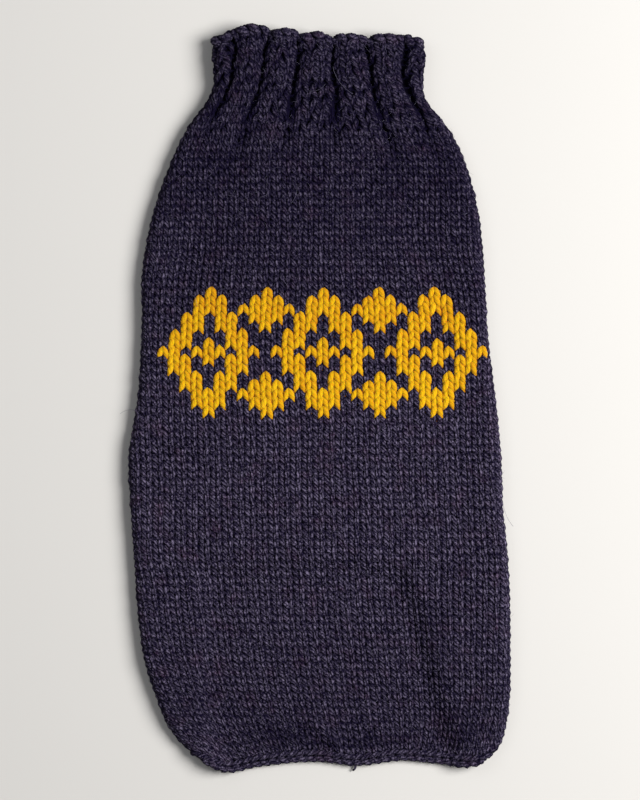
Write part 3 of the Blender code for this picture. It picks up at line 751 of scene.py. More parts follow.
# the stitches
stitch = {
    "samples": 12,  # places along the yarn in each stitch
    "sides": 7,
    "lean": 0.235,  # how far each leg leans out, in wales
    "reach": 0.92,  # half a loop's length, in courses
    "swing": 0.85,  # how far the yarn swings in and out through the cloth
    "depth": -1.5,  # the yarn's mean depth below the cloth's face
    "width": 1.43,  # the yarn's half width, and half its height where it is pressed
    "height": 1.12,
    "taper": 0.14,  # how much thinner the yarn is where it passes through
    "shoulder": 0.09,  # how much thicker the upper end of a leg is than its lower end
    "legTone": 0.1,  # how unlike in lightness the legs are
    # painted light: a right leg's colour is painted lighter than a left one's, as if lit from the right
    "paintedSideLight": 0.11,  # how much lighter a right leg is than a left one
    "waleTone": 0.05,  # and the wales, for a few courses each
    # painted shade: how much darker a leg's outer side is painted, where the next wale would shade it
    "paintedFlankShade": 0.4,  # how much darker a leg's outer side is, where the next wale shades it
    # a painted shade notch: where along a leg it is painted darker, over how much, and how dark
    "notch": (0.6, 0.24, 0.78),  # where along a leg its neighbour presses on it, over how much, how dark
    "notchRise": (0.4, 53.0, 66.0),  # its strength at the collar's foot, and where that grows to all of it
    "uneven": {"size": 0.035, "shift": 0.1, "rise": 0.11, "legs": 0.08, "drift": 0.25, "row": 0.02},
    "looser": (2.5, 60.0, 105.0),  # how much less even rows are where the ribs run out, from where to where
}
# the navy yarn that runs on behind a yellow stitch: how much straighter, deeper and thinner it is, and
# how soon
floating = {"straight": 0.8, "deeper": 0.9, "thinner": 0.35, "power": 6}
middleWale = 40  # the grids of stitches count their columns from this many left of the middle one


def strandsOf(first, last, samples):
    # the samples of many strands, strand i from first[i] to last[i], both counted in wales
    counts = (last - first) * samples + 1
    strand = np.repeat(np.arange(len(first)), counts)
    step = np.arange(counts.sum()) - np.repeat(np.cumsum(counts) - counts, counts)
    return strand, first[strand] + step / samples


def courseDowns(stretches):  # the middle of each course, from stretches of start, end and number of courses
    downs, pitches = [], []
    for start, end, count in stretches:
        pitch = (end - start) / count
        downs.append(start + pitch * (np.arange(count) + 0.5))
        pitches.append(np.full(count, pitch))
    return np.concatenate(downs), np.concatenate(pitches)


bodyCourses, bodyPitches = courseDowns(body["courses"])
cloth = bodyCloth()
ribbing = collarCloth()
reachToFold = cloth["folds"]
gatherRow = int(np.searchsorted(reachToFold[0], body["gatherDown"]))
print("cloth worked out")

# The pattern, in stitches: three lozenges nine wide and fifteen high, two stitches thick, with a small one
# inside each and small solid ones between them
motif = {
    "firstCourse": 21,
    "halfHeight": 7,
    "halfWidth": 4,
    "centres": [-10, 0, 10],  # wales
    "small": [0, 1, 2, 1, 0],  # half widths of a small lozenge's courses
    "between": [(-5, 0), (5, 0), (-5, 10), (5, 10)],  # wale and first course of each small one
}


def lozengeStitches():
    # every yellow stitch as course and wale: |wale| within two stitches of a line that closes in as
    # the course leaves the middle one, and a small solid lozenge in the middle
    yellow = set()
    for centre in motif["centres"]:
        for row in range(-motif["halfHeight"], motif["halfHeight"] + 1):
            edge = int(motif["halfWidth"] * (1 - abs(row) / motif["halfHeight"]) + 0.5)
            for wale in range(-edge, edge + 1):
                if abs(wale) >= edge - 1 or abs(wale) + abs(row) <= 1:
                    yellow.add((motif["firstCourse"] + motif["halfHeight"] + row, centre + wale))
    for centre, start in motif["between"]:
        for row, halfWidth in enumerate(motif["small"]):
            for wale in range(-halfWidth, halfWidth + 1):
                yellow.add((motif["firstCourse"] + start + row, centre + wale))
    return yellow


yellowStitches = lozengeStitches()
yellowGrid = np.zeros((len(bodyCourses), 2 * middleWale))
for course, wale in yellowStitches:
    yellowGrid[course, wale + middleWale] = 1.0


def legShape(phase):  # thickest in the middle of a leg and at its shoulder
    return 1 - stitch["taper"] * (1 + np.cos(2 * phase)) + stitch["shoulder"] * np.cos(phase)


# painted shade: a dark notch across a leg where the next course's leg lies on it
def notchShade(phase, most=1.0):  # the dark notch across a leg where the next course's leg lies on it
    at, over, dark = stitch["notch"]
    return 1 - most * dark * np.exp(-(((np.abs(np.cos(phase)) - at) / over) ** 2))


def waleLine(wale, down):
    # how far round the cloth a wale lies from the middle one: its number times the pitch. Towards the
    # hem the outer wales follow the folds in, so past gatherFrom the rest is squeezed into what is left
    reach = wale * through(down, *body["walePitch"].T)
    at, left, right = reachToFold
    widest = np.where(wale < 0, left[gatherRow], right[gatherRow])
    now = np.where(wale < 0, np.interp(down, at, left), np.interp(down, at, right))
    gathered = body["gatherFrom"]
    squeeze = np.where(down > at[gatherRow], (now - gathered) / (widest - gathered), 1.0)
    over = np.maximum(np.abs(reach) - gathered, 0.0)
    return np.sign(reach) * (np.minimum(np.abs(reach), gathered) + over * np.minimum(squeeze, 1.0))


def bodyYarn(course, wale, look, yellow=False):
    # each course is one yarn. Along it the wale number grows by 1 a stitch; the yarn leans by
    # sin(2 phase), runs down and up by cos(phase), and swings in and out by cos(2 phase), so that the
    # legs lie in front and the loops' heads and feet behind
    phase = full * wale
    rows, columns = len(bodyCourses), 2 * middleWale

    def varied(seed, *evened):  # one random number for each stitch
        return between(uneven(seed, rows, columns, *evened), course, wale + middleWale)

    shift, size, rise = varied(11), varied(12), varied(13)
    legs = between(uneven(14, rows, 2 * columns), course, 2 * wale + columns)
    tension = uneven(15, rows, 1, 1)[course, 0]
    drift = varied(16, 9)
    hand = stitch["uneven"]
    reach = stitch["reach"] * look.get("reach", 1.0) * (1 + hand["size"] * size + hand["row"] * tension)
    floated = np.zeros(len(wale))
    if not yellow:
        number = np.floor(wale).astype(int)
        fromMiddle = np.abs(2 * (wale - number) - 1)
        floated = yellowGrid[course, number + middleWale] * (1 - fromMiddle ** floating["power"])
    straight = 1 - floating["straight"] * floated
    down = bodyCourses[course] - bodyPitches[course] * reach * straight * np.cos(phase)
    most, *calms = stitch["looser"]
    looser = 1 + most * (1 - ease(down, *calms))
    down = down + hand["shift"] * looser * shift + hand["drift"] * drift
    lean = stitch["lean"] * (1 + hand["legs"] * legs)
    aside = wale + lean * np.sin(2 * phase) + 0.2 * hand["shift"] * shift
    across = waleLine(aside, down) + hand["drift"] * drift
    point, normal = onCloth(cloth, across, down)
    depth = stitch["depth"] + look.get("proud", 0.0) + hand["rise"] * rise - floating["deeper"] * floated
    swing = stitch["swing"] * (1 + 0.1 * size)
    inward = depth - swing * np.cos(2 * phase) - look.get("headSink", 0.0) * ease(-np.cos(phase), -1.0, 1.0)
    if "deepest" in look:
        inward = np.maximum(inward, look["deepest"])
    centre = point + inward[:, None] * normal
    thick = look.get("thick", 1.0) * (1 + hand["size"] * size + 0.3 * hand["legs"] * legs)
    thick = thick * (1 - floating["thinner"] * floated) * legShape(phase)
    # how close the wales lie to each other here: 1 as knitted, less where they are squeezed
    spacing = (waleLine(wale + 0.5, down) - waleLine(wale - 0.5, down)) / through(down, *body["walePitch"].T)
    wales = between(uneven(17, rows, columns, 0, 3), course, wale + middleWale - 0.5)
    # painted shade at each notch and painted light on each right leg, times random tone for each leg and wale
    least, *grows = stitch["notchRise"]
    most = look.get("notch", 1.0) * (least + (1 - least) * ease(down, *grows)) * spacing**2
    shadeAndTone = notchShade(phase, most) * (1 + stitch["legTone"] * legs + stitch["waleTone"] * wales
                                    + stitch["paintedSideLight"] * np.sin(phase))
    return centre, normal, stitch["width"] * thick * spacing**0.6, stitch["height"] * thick, inward, shadeAndTone


def clothReach(down):  # the first and last whole wale between the strips' edges
    at, edges = cloth["edges"]
    most = 60  # more than there are on either side
    wales = np.arange(-most, most + 1.0)
    lines = waleLine(wales[None, :], down[:, None])
    left = np.interp(down, at, edges[:, 0])[:, None]
    right = np.interp(down, at, edges[:, 1])[:, None]
    inside = (lines > left) & (lines < right)
    first, last = inside.argmax(axis=1), 2 * most - inside[:, ::-1].argmax(axis=1)
    return wales[first].astype(int), wales[last].astype(int)


# the wales of each band
bands = {"bodyYarnLeft": (-60, -12), "bodyYarnInnerLeft": (-12, 0), "bodyYarnInnerRight": (0, 12),
         "bodyYarnRight": (12, 60)}
leftEnd, rightEnd = clothReach(bodyCourses)
yarnPieces = []
bodyStrands = {}
for name, (low, high) in bands.items():
    first, last = np.maximum(leftEnd, low), np.minimum(rightEnd, high)
    strand, wale = strandsOf(first, last, stitch["samples"])
    *tube, inward, shadeAndTone = bodyYarn(strand, wale, {})
    bodyStrands[name] = (*tube[:2], wale)
    yarnPieces.append(addTubes(name, strand, *tube, stitch["sides"], navyYarn, inward, shadeAndTone,
                               stitch["paintedFlankShade"]))

# how a yellow stitch differs from a navy one, and its run's turned-in ends: over how much of a stitch,
# how much deeper and thinner
lozenge = {
    "samples": 14,
    "sides": 8,
    "look": {"proud": 0.3, "thick": 1.06, "headSink": 0.4, "notch": 0.12, "reach": 1.12, "deepest": -1.6},
    "ends": (0.1, 0.3, 0.5),
    # how much less painted shade the yellow yarn gets, as a shift of its depth
    "lit": 0.1,
}


def lozengeYarn():
    # runs of neighbouring yellow stitches, each run one short yarn with its ends turned in
    runs = []
    for course, wale in sorted(yellowStitches):
        if runs and runs[-1][0] == course and runs[-1][2] == wale:
            runs[-1][2] = wale + 1
        else:
            runs.append([course, wale, wale + 1])
    runs = np.array([r for r in runs if leftEnd[r[0]] <= r[1] and r[2] <= rightEnd[r[0]]])
    strand, wale = strandsOf(runs[:, 1], runs[:, 2], lozenge["samples"])
    centre, normal, width, height, inward, shadeAndTone = bodyYarn(runs[strand, 0], wale, lozenge["look"], True)
    # the ends are thinner and a little deeper, so that they hide between the navy stitches and the cloth
    toEnd = np.minimum(wale - runs[strand, 1], runs[strand, 2] - wale)
    over, deeper, thinner = lozenge["ends"]
    turnedIn = np.exp(-((toEnd / over) ** 2))
    centre -= normal * (deeper * turnedIn)[:, None]
    thin = 1 - thinner * turnedIn
    return addTubes("lozengeYarn", strand, centre, normal, width * thin, height * thin, lozenge["sides"],
                    yellowYarn, inward + lozenge["lit"], shadeAndTone)


lozenges = lozengeYarn()
print("body knitted:", len(yellowStitches), "yellow stitches")

ribbed = {
    "wales": 48,
    "firstCourse": 1.5,  # in courses, from the neck edge
    "highest": 0.6,
    "reach": 1.08,  # against a stitch of the body, as the lean is
    "lean": 1.25,
    "size": 0.06,  # how uneven the stitches are
    "shift": 0.55,
    "aside": 0.16,
    "rise": 0.2,
    "notch": 0.75,
    "legTone": 2.2,
    "purlFrom": (0.38, 0.62),  # wales from a furrow's middle, where purl turns into knit
    "purlLean": 0.4,
    "purlDeeper": 0.6,
    "purlThick": 0.75,
}


def collarYarn():
    # rings of stitches, three knit and one purl by turns. A purl stitch is a knit one turned inside
    # out, and it lies deep in the furrow
    pitchDown = collar["length"] / collar["courses"]
    rings = np.arange(collar["courses"] - 1)
    wales = ribbed["wales"]
    strand, wale = strandsOf(0 * rings, 0 * rings + wales, stitch["samples"])
    phase = full * wale
    size, shift, rise = (between(uneven(seed, collar["courses"], wales), strand, wale) for seed in (21, 22, 23))
    reach = ribbed["reach"] * stitch["reach"] * (1 + ribbed["size"] * size)
    down = (strand + ribbed["firstCourse"]) * pitchDown - pitchDown * reach * np.cos(phase)
    down = np.maximum(down + ribbed["shift"] * shift, ribbed["highest"])
    # whole stitches: the furrow runs down the middle of stitch 0, 4, 8 and so on, and towards the foot
    # its purl stitches turn into knit ones
    fromFurrow = np.abs((wale - 0.5 + 2.0) % 4.0 - 2.0)
    legs = between(uneven(24, collar["courses"], 2 * wales), strand, 2 * wale)
    purl = (1 - ease(fromFurrow, *ribbed["purlFrom"])) * (1 - ease(down, *collar["purlEnds"]))
    knit = 1 - purl
    leans = ribbed["purlLean"] + (1 - ribbed["purlLean"]) * knit
    aside = ribbed["lean"] * stitch["lean"] * np.sin(2 * phase) + ribbed["aside"] * shift
    point, normal = onCloth(ribbing, (wale - 0.5 + aside * leans) % wales, down)
    swing = stitch["swing"] * np.cos(2 * phase) * (2 * knit - 1)
    inward = stitch["depth"] - swing - ribbed["purlDeeper"] * purl + ribbed["rise"] * rise
    centre = point + inward[:, None] * normal
    thick = (1 + ribbed["size"] * size) * (ribbed["purlThick"] + (1 - ribbed["purlThick"]) * knit)
    thick = thick * legShape(phase)
    # painted shade at each notch, times random tone for each leg
    shadeAndTone = notchShade(phase, ribbed["notch"]) * (1 + ribbed["legTone"] * stitch["legTone"] * legs)
    piece = addTubes("collarYarn", strand, centre, normal, stitch["width"] * thick, stitch["height"] * thick,
                     stitch["sides"], navyYarn, inward, shadeAndTone, stitch["paintedFlankShade"])
    return piece, (centre, normal, wale)


collarPiece, collarStrands = collarYarn()


def underneath(x, down):  # points of the lower face, and the way down from them
    point = np.stack([x, neckY - down, 0 * x], axis=-1)
    return point, np.broadcast_to([0.0, 0.0, -1.0], point.shape)


def bellyYarn():  # the body's stitches on a plain grid of wales and courses, upside down
    pitch, walePitch, middle = belly["coursePitch"], belly["walePitch"], belly["middle"]
    count = int((belly["end"] - sum(belly["knitGap"]) - body["collarFoot"]) / pitch)
    downs = body["collarFoot"] + belly["knitGap"][0] + pitch * (np.arange(count) + 0.5)
    left, right = bellyEdges(downs)
    first = np.ceil((left - middle) / walePitch).astype(int)
    last = np.floor((right - middle) / walePitch).astype(int)
    strand, wale = strandsOf(first, last, belly["samples"])
    phase = full * wale
    size = between(uneven(31, count, middleWale), strand, wale + middleWale // 2)
    shift = between(uneven(32, count, middleWale, 1), strand, wale + middleWale // 2)
    down = downs[strand] - pitch * stitch["reach"] * (1 + 0.05 * size) * np.cos(phase) + 0.2 * shift
    x = middle + (wale + stitch["lean"] * np.sin(2 * phase) + 0.03 * shift) * walePitch
    inward = stitch["depth"] - stitch["swing"] * np.cos(2 * phase)
    point, normal = underneath(x, down)
    thick = (1 + 0.05 * size) * legShape(phase)
    return addTubes("bellyYarn", strand, point + inward[:, None] * normal, normal, stitch["width"] * thick,
                    belly["high"] * thick, 6, navyYarn, inward, notchShade(phase))


bellyPiece = bellyYarn()
print("collar and belly knitted")

# the cloth behind the stitches, a thin shell on the form of each solid. Depths are from its outer face
backing = {
    "outer": 1.9,
    "hemOuter": 1.2,
    "collarOuter": 2.1,
    "inner": 2.8,
    "flatOuter": 1.6,  # where it lies on the floor
    "lowest": 0.4,  # no outer face is nearer to the floor
    "top": 52.7,
    "backRows": (56.0, 354.0, 6.0),
    "hem": (358.0, 0.8),  # where it starts, and how far above the hem it ends
    "seamGap": 0.3,
    "bellyRows": [(52.7, 98.0, 16), (100.0, 158.0, 30), (161.0, 256.8, 30)],  # closer beside the openings
    "collarRows": ([0.6, 1.6], (4.0, 52.4, 18)),
}


def bodyFace(down, middleSteps):  # the body's outer face along these rows
    x, z = bodySection(down, 6, 10, middleSteps)
    return np.stack([x, neckY - down[:, None] - hemDrop(x, down[:, None]), z], axis=-1)


def bodyShell(name, face, normal, depth, flatDepth):
    # the wall between depth and the knitting's inner side, both measured from the outer face
    outer, inner = face - depth * normal, face - backing["inner"] * normal
    outer[..., 2] = np.maximum(outer[..., 2], backing["lowest"])
    inner[..., 2] = np.maximum(inner[..., 2], 0.0)
    flat = face[..., 2] < 0.01
    outer[flat, 2], inner[flat, 2] = flatDepth, backing["inner"]
    return addWall(name, outer, inner, lining)


def backCloth():  # all but the hem, at right angles to the face's slope down and across
    down = np.concatenate([[backing["top"]], np.arange(*backing["backRows"]), [body["edgingTop"]]])
    face = bodyFace(down, 76)
    normal = unit(np.cross(np.gradient(face, axis=0), np.gradient(face, axis=1)))
    return bodyShell("backCloth", face, normal, backing["outer"], backing["flatOuter"])


def hemCloth():  # the hem, at right angles to the slope across alone, so that its rows keep to their places
    start, end = backing["hem"]
    face = bodyFace(np.linspace(start, hemDown - end, 4), 90)
    face[0, :, 1] -= backing["seamGap"]
    across = np.gradient(face, axis=1)
    normal = unit(np.stack([-across[..., 2], 0 * across[..., 1], across[..., 0]], axis=-1))
    return bodyShell("hemCloth", face, normal, backing["hemOuter"], backing["hemOuter"])


def bellyCloth():  # flat, from edge to edge, with its end bowed by the square of the way across
    down = np.concatenate([np.linspace(*stretch) for stretch in backing["bellyRows"]])
    across = np.linspace(-1.0, 1.0, 25)
    bow = belly["bow"] * across**2 * ease(down, belly["end"] - belly["bowStart"], belly["end"])[:, None]
    down = down[:, None] + bow
    left, right = bellyEdges(down)
    x = (left + right) / 2 + (right - left) / 2 * across
    lower = np.stack([x, neckY - down, 0 * x + backing["flatOuter"]], axis=-1)
    upper = lower + [0.0, 0.0, body["wall"] - backing["flatOuter"]]
    return addWall("bellyCloth", upper, lower, lining)


def collarBacking():  # the ring of ribs, four columns to a wale, between two depths
    first, others = backing["collarRows"]
    grid = np.meshgrid(np.arange(0, ribbed["wales"], 0.25), np.concatenate([first, np.linspace(*others)]))
    face, normal = onCloth(ribbing, *grid)
    outer, inner = face - backing["collarOuter"] * normal, face - backing["inner"] * normal
    for side in (outer, inner):
        side[..., 2] = np.maximum(side[..., 2], backing["lowest"])
    return addWall("collarCloth", outer, inner, lining, ring=True)


backPiece, hemPiece, bellyClothPiece, collarClothPiece = backCloth(), hemCloth(), bellyCloth(), collarBacking()
print("backing cloth made")

# the bound-off edges, a chain of loops lying on its side
chain = {
    "pitch": 4.5,
    "width": 5.6,
    "lean": 0.2,
    "reach": 3.6,
    "swing": 0.8,
    "thick": 1.12,
    "yarn": (1.3, 1.1),  # its half width and half height
    "uneven": (0.06, 0.05),
    # how much more painted shade the chain gets, as a shift of its depth
    "lit": -0.7,
    "notch": 0.9,
}
# what differs from piece to piece. "from" is how far inside its edge a chain's middle runs, or outside it
# for the leg openings
hemLook = {
    **chain, "depth": -0.4, "seed": 42, "from": 2.7, "drawnIn": 1.5, "short": 2.0,
    # how it keeps to the side folds: faster past the hem, how far from a fold it lets go, how much
    "past": 1.3, "fade": (2.0, 22.0), "shares": (0.75, 0.5),
}
bellyLook = {**chain, "depth": -1.5, "swing": 0.4, "seed": 44, "from": 2.4, "share": 0.97}
seamLook = {**chain, "depth": -1.4, "swing": 0.35, "width": 4.6, "thick": 1.0, "seed": 45, "from": 2.0}
seamLook["ends"] = (56.0, 354.0)
openingLook = {**seamLook, "seed": 47, "from": 1.6, "out": 0.5, "round": 0.7}


def chainAlong(name, path, lift, looks, sides=7, samples=12, follow=None):
    # a single wale of stitches whose courses follow each other along the path. Follow says how far a
    # place beside the path is set along x, so that it keeps to a side fold
    length = np.append(0.0, np.linalg.norm(np.diff(path, axis=0), axis=1).cumsum())
    count = int(length[-1] / looks["pitch"])
    strand, wale = strandsOf(np.zeros(count, int), np.ones(count, int), samples)
    phase = full * wale
    rng = np.random.default_rng(looks["seed"])
    size = rng.normal(0, 1, count)[strand]
    tilt = rng.normal(0, 1, count)[strand]
    pitch = length[-1] / count
    sizes, tilts = looks["uneven"]
    at = (strand + 0.5) * pitch - looks["reach"] * (1 + sizes * size) * np.cos(phase)
    aside = (wale - 0.5 + looks["lean"] * np.sin(2 * phase)) * looks["width"] * (1 + tilts * tilt)
    inward = looks["depth"] - looks["swing"] * np.cos(2 * phase)

    def here(values):  # read along the path at each sample
        return np.stack([np.interp(at, length, values[:, i]) for i in range(3)], axis=-1)

    point, normal = here(path), unit(here(lift))
    side = unit(np.cross(normal, unit(here(np.gradient(path, length, axis=0)))))
    centre = point + aside[:, None] * side + inward[:, None] * normal
    if follow:
        centre[:, 0] += follow(point[:, 0], aside)
    thick = looks["thick"] * (1 + sizes * size)
    width, high = looks["yarn"]
    return addTubes(name, strand, centre, normal, width * thick, high * thick, sides, navyYarn,
                    inward + looks["lit"], notchShade(phase, looks["notch"]))


def hemChain():  # along the hem from one strip's edge over the back to the other's
    down = hemDown - hemLook["from"]
    at, edges = cloth["edges"]
    left, right = (np.interp(down, at, edges[:, i]) for i in (0, 1))
    across = np.linspace(left + hemLook["short"], right - hemLook["short"], 500)
    path, lift = onCloth(cloth, across, np.full(len(across), down))
    # drawn in round the side folds
    path = path - hemLook["drawnIn"] * lift * (1 - np.maximum(lift[:, 2:], 0.0))

    def follow(x, aside):
        # as far as the nearer fold moves between the path and this place, less and less away from it
        lines = np.stack([*foldLines(np.minimum(down - aside, hemDown)), *foldLines(down + 0 * aside)])
        past = np.maximum(down - aside - hemDown, 0.0) * hemLook["past"]
        byLeft = (lines[0] - lines[2] + past) * (1 - ease(x - lines[2], *hemLook["fade"]))
        byRight = (lines[1] - lines[3] - past) * (1 - ease(lines[3] - x, *hemLook["fade"]))
        shareLeft, shareRight = hemLook["shares"]
        return shareLeft * byLeft + shareRight * byRight

    return chainAlong("hemChain", path, lift, hemLook, follow=follow)


neckLoops = {
    "samples": 11,
    "ends": (-0.7, 1.15),  # where a loop starts and ends, when 0 to 1 is its half turn over the edge
    "thick": 2.35,
    "high": 1.55,
    "foot": 5.2,  # how far down its outer end is
    "shoulder": 2.6,  # and where its half turn begins
    "top": 1.35,
    "depth": -1.35,
    "turn": 1.15,
    "sink": 1.6,
    "slant": 0.8,
    "uneven": (0.1, 0.1, 0.35),  # size, lean and height
    "thin": 0.3,
    # how much less painted shade the loops get, as a shift of their depth
    "lit": 0.3,
    "seed": 43,
}


def neckEdge():
    # one plump loop of yarn for each wale, slung over the edge from the outer face to the inner one:
    # up the outer face, a half turn over the edge and a little way down inside
    count, samples = ribbed["wales"], neckLoops["samples"]
    rng = np.random.default_rng(neckLoops["seed"])
    size, lean, tall = (share * rng.normal(0, 1, count) for share in neckLoops["uneven"])
    strand = np.repeat(np.arange(count), samples)
    start, end = neckLoops["ends"]
    at = np.tile(np.linspace(start, end, samples), count)
    turn = np.pi * np.clip(at, 0.0, 1.0)
    below = np.maximum(-at, 0.0) / -start
    tuckedIn = np.maximum(at - 1.0, 0.0)
    shoulder = neckLoops["shoulder"]
    down = shoulder - (shoulder - neckLoops["top"]) * np.sin(turn) + (neckLoops["foot"] - shoulder) * below
    down = down + 6 * tuckedIn - tall[strand]
    inward = neckLoops["depth"] + neckLoops["turn"] * np.cos(turn) - neckLoops["sink"] * below**2
    wale = strand + neckLoops["slant"] * (0.4 - at) + lean[strand]
    point, normal = onCloth(ribbing, wale % count, down)
    centre = point + inward[:, None] * normal
    thick = (1 + size[strand]) * (1 - neckLoops["thin"] * below)
    lift = unit(normal * np.cos(turn)[:, None] + [0.0, 1.0, 0.0] * np.sin(turn)[:, None])
    return addTubes("neckLoops", strand, centre, lift, neckLoops["thick"] * thick, neckLoops["high"] * thick,
                    stitch["sides"], navyYarn, inward + neckLoops["lit"])


def bellyChain():  # along the belly panel's bowed end
    across = np.linspace(-1.0, 1.0, 200)
    down = belly["end"] + belly["bow"] * across**2 - bellyLook["from"]
    left, right = bellyEdges(down)
    x = (left + right) / 2 + (right - left) / 2 * across * bellyLook["share"]
    return chainAlong("bellyChain", *underneath(x, down), bellyLook, sides=6)


def sideSeams():
    # underneath, a row of seam stitches along each strip's edge, and one round each leg opening
    steps = 200
    seams = []
    for name, side, way in (("Left", 0, 1.0), ("Right", 1, -1.0)):
        down = np.linspace(*seamLook["ends"], steps)
        line = underneath(stripEdges(down)[side] - seamLook["from"] * way, down)
        looks = {**seamLook, "seed": seamLook["seed"] + side}
        seams.append(chainAlong("seam" + name, *line, looks, sides=6, samples=8))
        turn = np.linspace(0.0, np.pi, steps)
        away, looks = openingLook["from"], {**openingLook, "seed": openingLook["seed"] + side}
        down = belly["openingDown"] - (belly["openingLength"] / 2 + away) * np.cos(turn)
        scoop = (belly["openingWidth"] + away) * np.sin(turn) ** looks["round"]
        line = underneath(stripEdges(down)[side] + way * (looks["out"] + scoop), down)
        seams.append(chainAlong("openingEdge" + name, *line, looks, sides=6, samples=8))
    return seams


edges = [hemChain(), neckEdge(), bellyChain(), *sideSeams()]
print("edges bound off")

# loose fibres
fuzz = {"count": 3000, "length": (1.2, 4.2), "radius": 0.05, "legs": 0.5, "out": 1.0, "seed": 51}
hairTaper = np.array([1.0, 1.0, 0.8, 0.3])  # how thick a hair is, from its root to its tip
hairSamples, hairGap, hairOnCollar = 17, 0.3, 12.0  # a long hair's, above the cloth, and on the collar
# the long ones: x, down, length, heading in degrees, turn over its length, radius, lift
strays = [
    (6.8, 21.0, 17.0, -80.0, 50.0, 0.07, 1.2), (3.5, 30.0, 9.0, -120.0, -70.0, 0.06, 1.0),
    (-11.0, 78.0, 11.0, -75.0, -60.0, 0.06, 0.9),
    (90.0, 234.0, 13.0, -85.0, 35.0, 0.06, 2.2), (-52.0, 358.6, 9.0, 20.0, 420.0, 0.07, 1.6),
    (-44.0, 361.0, 8.0, -30.0, -380.0, 0.07, 1.4), (-12.0, 345.5, 6.0, 10.0, -330.0, 0.07, 1.2),
    (53.0, 251.0, 5.0, 40.0, 200.0, 0.08, 0.8), (43.5, 240.0, 5.0, 150.0, -220.0, 0.08, 0.8),
    (-60.0, 140.0, 9.0, 70.0, 90.0, 0.06, 1.0), (-89.0, 190.0, 8.0, 160.0, 60.0, 0.06, 1.8),
    (28.0, 310.0, 7.0, 30.0, 260.0, 0.07, 0.9), (-30.0, 268.0, 8.0, -20.0, -200.0, 0.06, 0.9),
]


def addHairs(name, roots, lifts, looks, material):
    # each hair leaves the yarn at a slant and bends over: root + length * (t * start + t^2 * bend)
    rng = np.random.default_rng(looks["seed"])
    count = looks["count"]
    pick = rng.integers(0, len(roots), count)
    root, lift = roots[pick], lifts[pick]
    aside = unit(np.cross(lift, rng.normal(0, 1, (count, 3))))
    bend = unit(np.cross(lift, rng.normal(0, 1, (count, 3))))
    length = rng.uniform(*looks["length"], count) * rng.uniform(0.4, 1.0, count)
    start = unit(aside + lift * rng.uniform(0.1, 0.9, (count, 1)))
    t = np.linspace(0.0, 1.0, len(hairTaper))[None, :, None]
    bent = 0.6 * t**2 * (bend - 0.4 * lift)[:, None]
    path = root[:, None] + length[:, None, None] * (t * start[:, None] + bent)
    strand = np.repeat(np.arange(count), len(hairTaper))
    thin = np.tile(looks["radius"] * hairTaper, count)
    lift = np.repeat(lift, len(hairTaper), axis=0)
    return addTubes(name, strand, path.reshape(-1, 3), lift, thin, thin, 3, material)


loose = {"scale": 150.0, "dark": "#262232", "light": "#77738a", "roughness": 0.7}


def looseFibre():
    # single wool fibres catch the light, so their colour is painted paler than the yarn's, a painted highlight
    material, tree, shader = newMaterial("looseWoolFibre")
    coords = addNode(tree, "ShaderNodeTexCoord")
    noise = addNode(tree, "ShaderNodeTexNoise", Vector=coords.outputs["Object"], Scale=loose["scale"])
    tone = addNode(tree, "ShaderNodeMix", {"data_type": "RGBA"}, Factor=noise.outputs[0],
                   in6=linear(loose["dark"]), in7=linear(loose["light"]))
    tree.links.new(tone.outputs[2], shader.inputs["Base Color"])
    shader.inputs["Roughness"].default_value = loose["roughness"]
    return material


fibre = looseFibre()
roots, lifts = [], []
for centre, normal, wale in [*bodyStrands.values(), collarStrands]:
    legs = np.abs(np.cos(full * wale)) < fuzz["legs"]
    roots.append(centre[legs] + normal[legs] * fuzz["out"])
    lifts.append(normal[legs])
fuzzPiece = addHairs("fuzz", np.concatenate(roots), np.concatenate(lifts), fuzz, fibre)


def strayHairs():
    # each hair's heading turns evenly along it, and it lies on the cloth, highest in its middle
    rows = np.array(strays)
    x, down, length, heading, turn, radius, lift = (column[:, None] for column in rows.T)
    t = np.linspace(0.0, 1.0, hairSamples)
    angle = np.radians(heading + turn * t)
    along = np.cumsum(np.cos(angle), axis=1) / (hairSamples - 1) * length
    away = np.cumsum(np.sin(angle), axis=1) / (hairSamples - 1) * length
    x, down = x + along, down - away
    inside = np.clip(down, body["collarFoot"], hemDown)
    height = topHeight(x, inside) + hairGap + lift * np.sin(np.pi * t)
    height = np.where(down < body["collarFoot"], hairOnCollar, height)
    path = np.stack([x, neckY - down, height], axis=-1).reshape(-1, 3)
    strand = np.repeat(np.arange(len(rows)), hairSamples)
    thin = np.repeat(radius, hairSamples)
    upwards = np.tile([0.0, 0.0, 1.0], (len(path), 1))
    return addTubes("strayHairs", strand, path, upwards, thin, thin, 4, fibre)


strayPiece = strayHairs()
# heading and turn in degrees, then the step along each axis; pairs are the start and the change over its length
tail = {
    "samples": 9, "x": 17.6, "up": 0.6, "heading": (-55.0, -95.0), "step": (0.45, 0.5), "height": (2.2, -0.8),
    "thick": (0.85, -0.35),
}


def yarnTail():
    # the end of the last row's yarn hangs out below the hem: a short hook, each quantity start + change * t
    count = tail["samples"]
    t = np.linspace(0.0, 1.0, count)
    heading, height, thick = (tail[name][0] + tail[name][1] * t for name in ("heading", "height", "thick"))
    angle = np.radians(heading)
    x = tail["x"] + np.cumsum(np.cos(angle)) * tail["step"][0]
    down = hemDown - tail["up"] - np.cumsum(np.sin(angle)) * tail["step"][1]
    path = np.stack([x, neckY - down, height], axis=-1)
    upwards = np.tile([0.0, 0.0, 1.0], (count, 1))
    return addTubes("yarnTail", np.zeros(count, int), path, upwards, thick, thick, 6, navyYarn, 0 * t)


tailPiece = yarnTail()
print("fuzz made")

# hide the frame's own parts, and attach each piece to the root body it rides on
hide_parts("back_panel")
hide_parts("belly_panel")
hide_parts("collar")
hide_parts("hem_edging")
for piece in (backPiece, bellyClothPiece, collarClothPiece, hemPiece, *yarnPieces, lozenges, collarPiece,
              bellyPiece, *edges, fuzzPiece, strayPiece, tailPiece):
    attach(piece, "root")

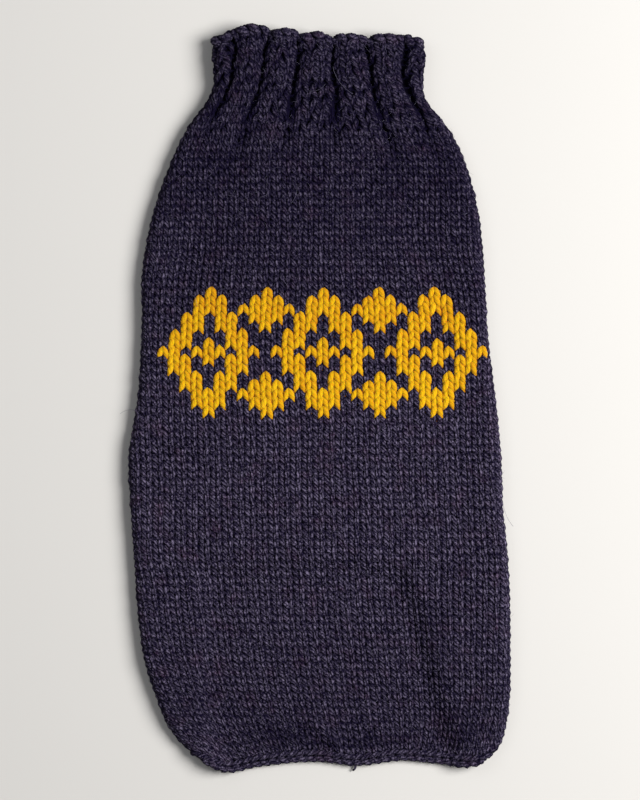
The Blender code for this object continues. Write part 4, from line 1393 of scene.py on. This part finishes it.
# floor, light and camera, in metres
studio = {
    "floor": "#cbc9c5",
    "floorRoughness": 0.9,
    "floorReach": 2,
    "centre": (0.0007, -0.001),
    "frameHeight": 0.392,  # what the picture's height takes in
    "frameAt": 0.006,  # how high above the floor it does
    "cameraHeight": 1.5,
    "lightSize": 0.9,
    "key": ((1.0, 0.15, 1.05), 36.0, (1.0, 0.99, 0.98)),  # place, power, tint
    "fill": ((-0.8, 0.5, 1.1), 2.5, (0.93, 0.95, 1.0)),
    "world": 0.2,
    "worldTint": (0.95, 0.96, 1.0, 1.0),
}
far = studio["floorReach"]
floorMesh = bpy.data.meshes.new("floor")
floorMesh.from_pydata([(-far, -far, 0), (far, -far, 0), (far, far, 0), (-far, far, 0)], [], [(0, 1, 2, 3)])
floor = bpy.data.objects.new("floor", floorMesh)
bpy.context.scene.collection.objects.link(floor)
paper, _, paperShader = newMaterial("matPalePaper")
paperShader.inputs["Base Color"].default_value = linear(studio["floor"])
paperShader.inputs["Roughness"].default_value = studio["floorRoughness"]
floorMesh.materials.append(paper)


def addLight(name, place, power, tint):  # a round light that faces the origin, tipped by the arctangents
    light = bpy.data.lights.new(name, "AREA")
    light.shape, light.size, light.energy, light.color = "DISK", studio["lightSize"], power, tint
    lamp = bpy.data.objects.new(name, light)
    lamp.location = x, y, z = place
    lamp.rotation_euler = (float(np.arctan2(np.hypot(x, y), z)), 0.0, float(np.arctan2(y, x) + np.pi / 2))
    bpy.context.scene.collection.objects.link(lamp)


addLight("keyLight", *studio["key"])
addLight("fillLight", *studio["fill"])
world = bpy.data.worlds.new("studio")
bpy.context.scene.world = world
world.use_nodes = True
world.node_tree.nodes["Background"].inputs[0].default_value = studio["worldTint"]
world.node_tree.nodes["Background"].inputs[1].default_value = studio["world"]

camera = bpy.data.cameras.new("camera")
camera.lens = camera.sensor_width * (studio["cameraHeight"] - studio["frameAt"]) / studio["frameHeight"]
view = bpy.data.objects.new("camera", camera)
view.location = (*studio["centre"], studio["cameraHeight"])
bpy.context.scene.collection.objects.link(view)
bpy.context.scene.camera = view
bpy.context.scene.view_settings.view_transform = "Standard"
print("stage set")
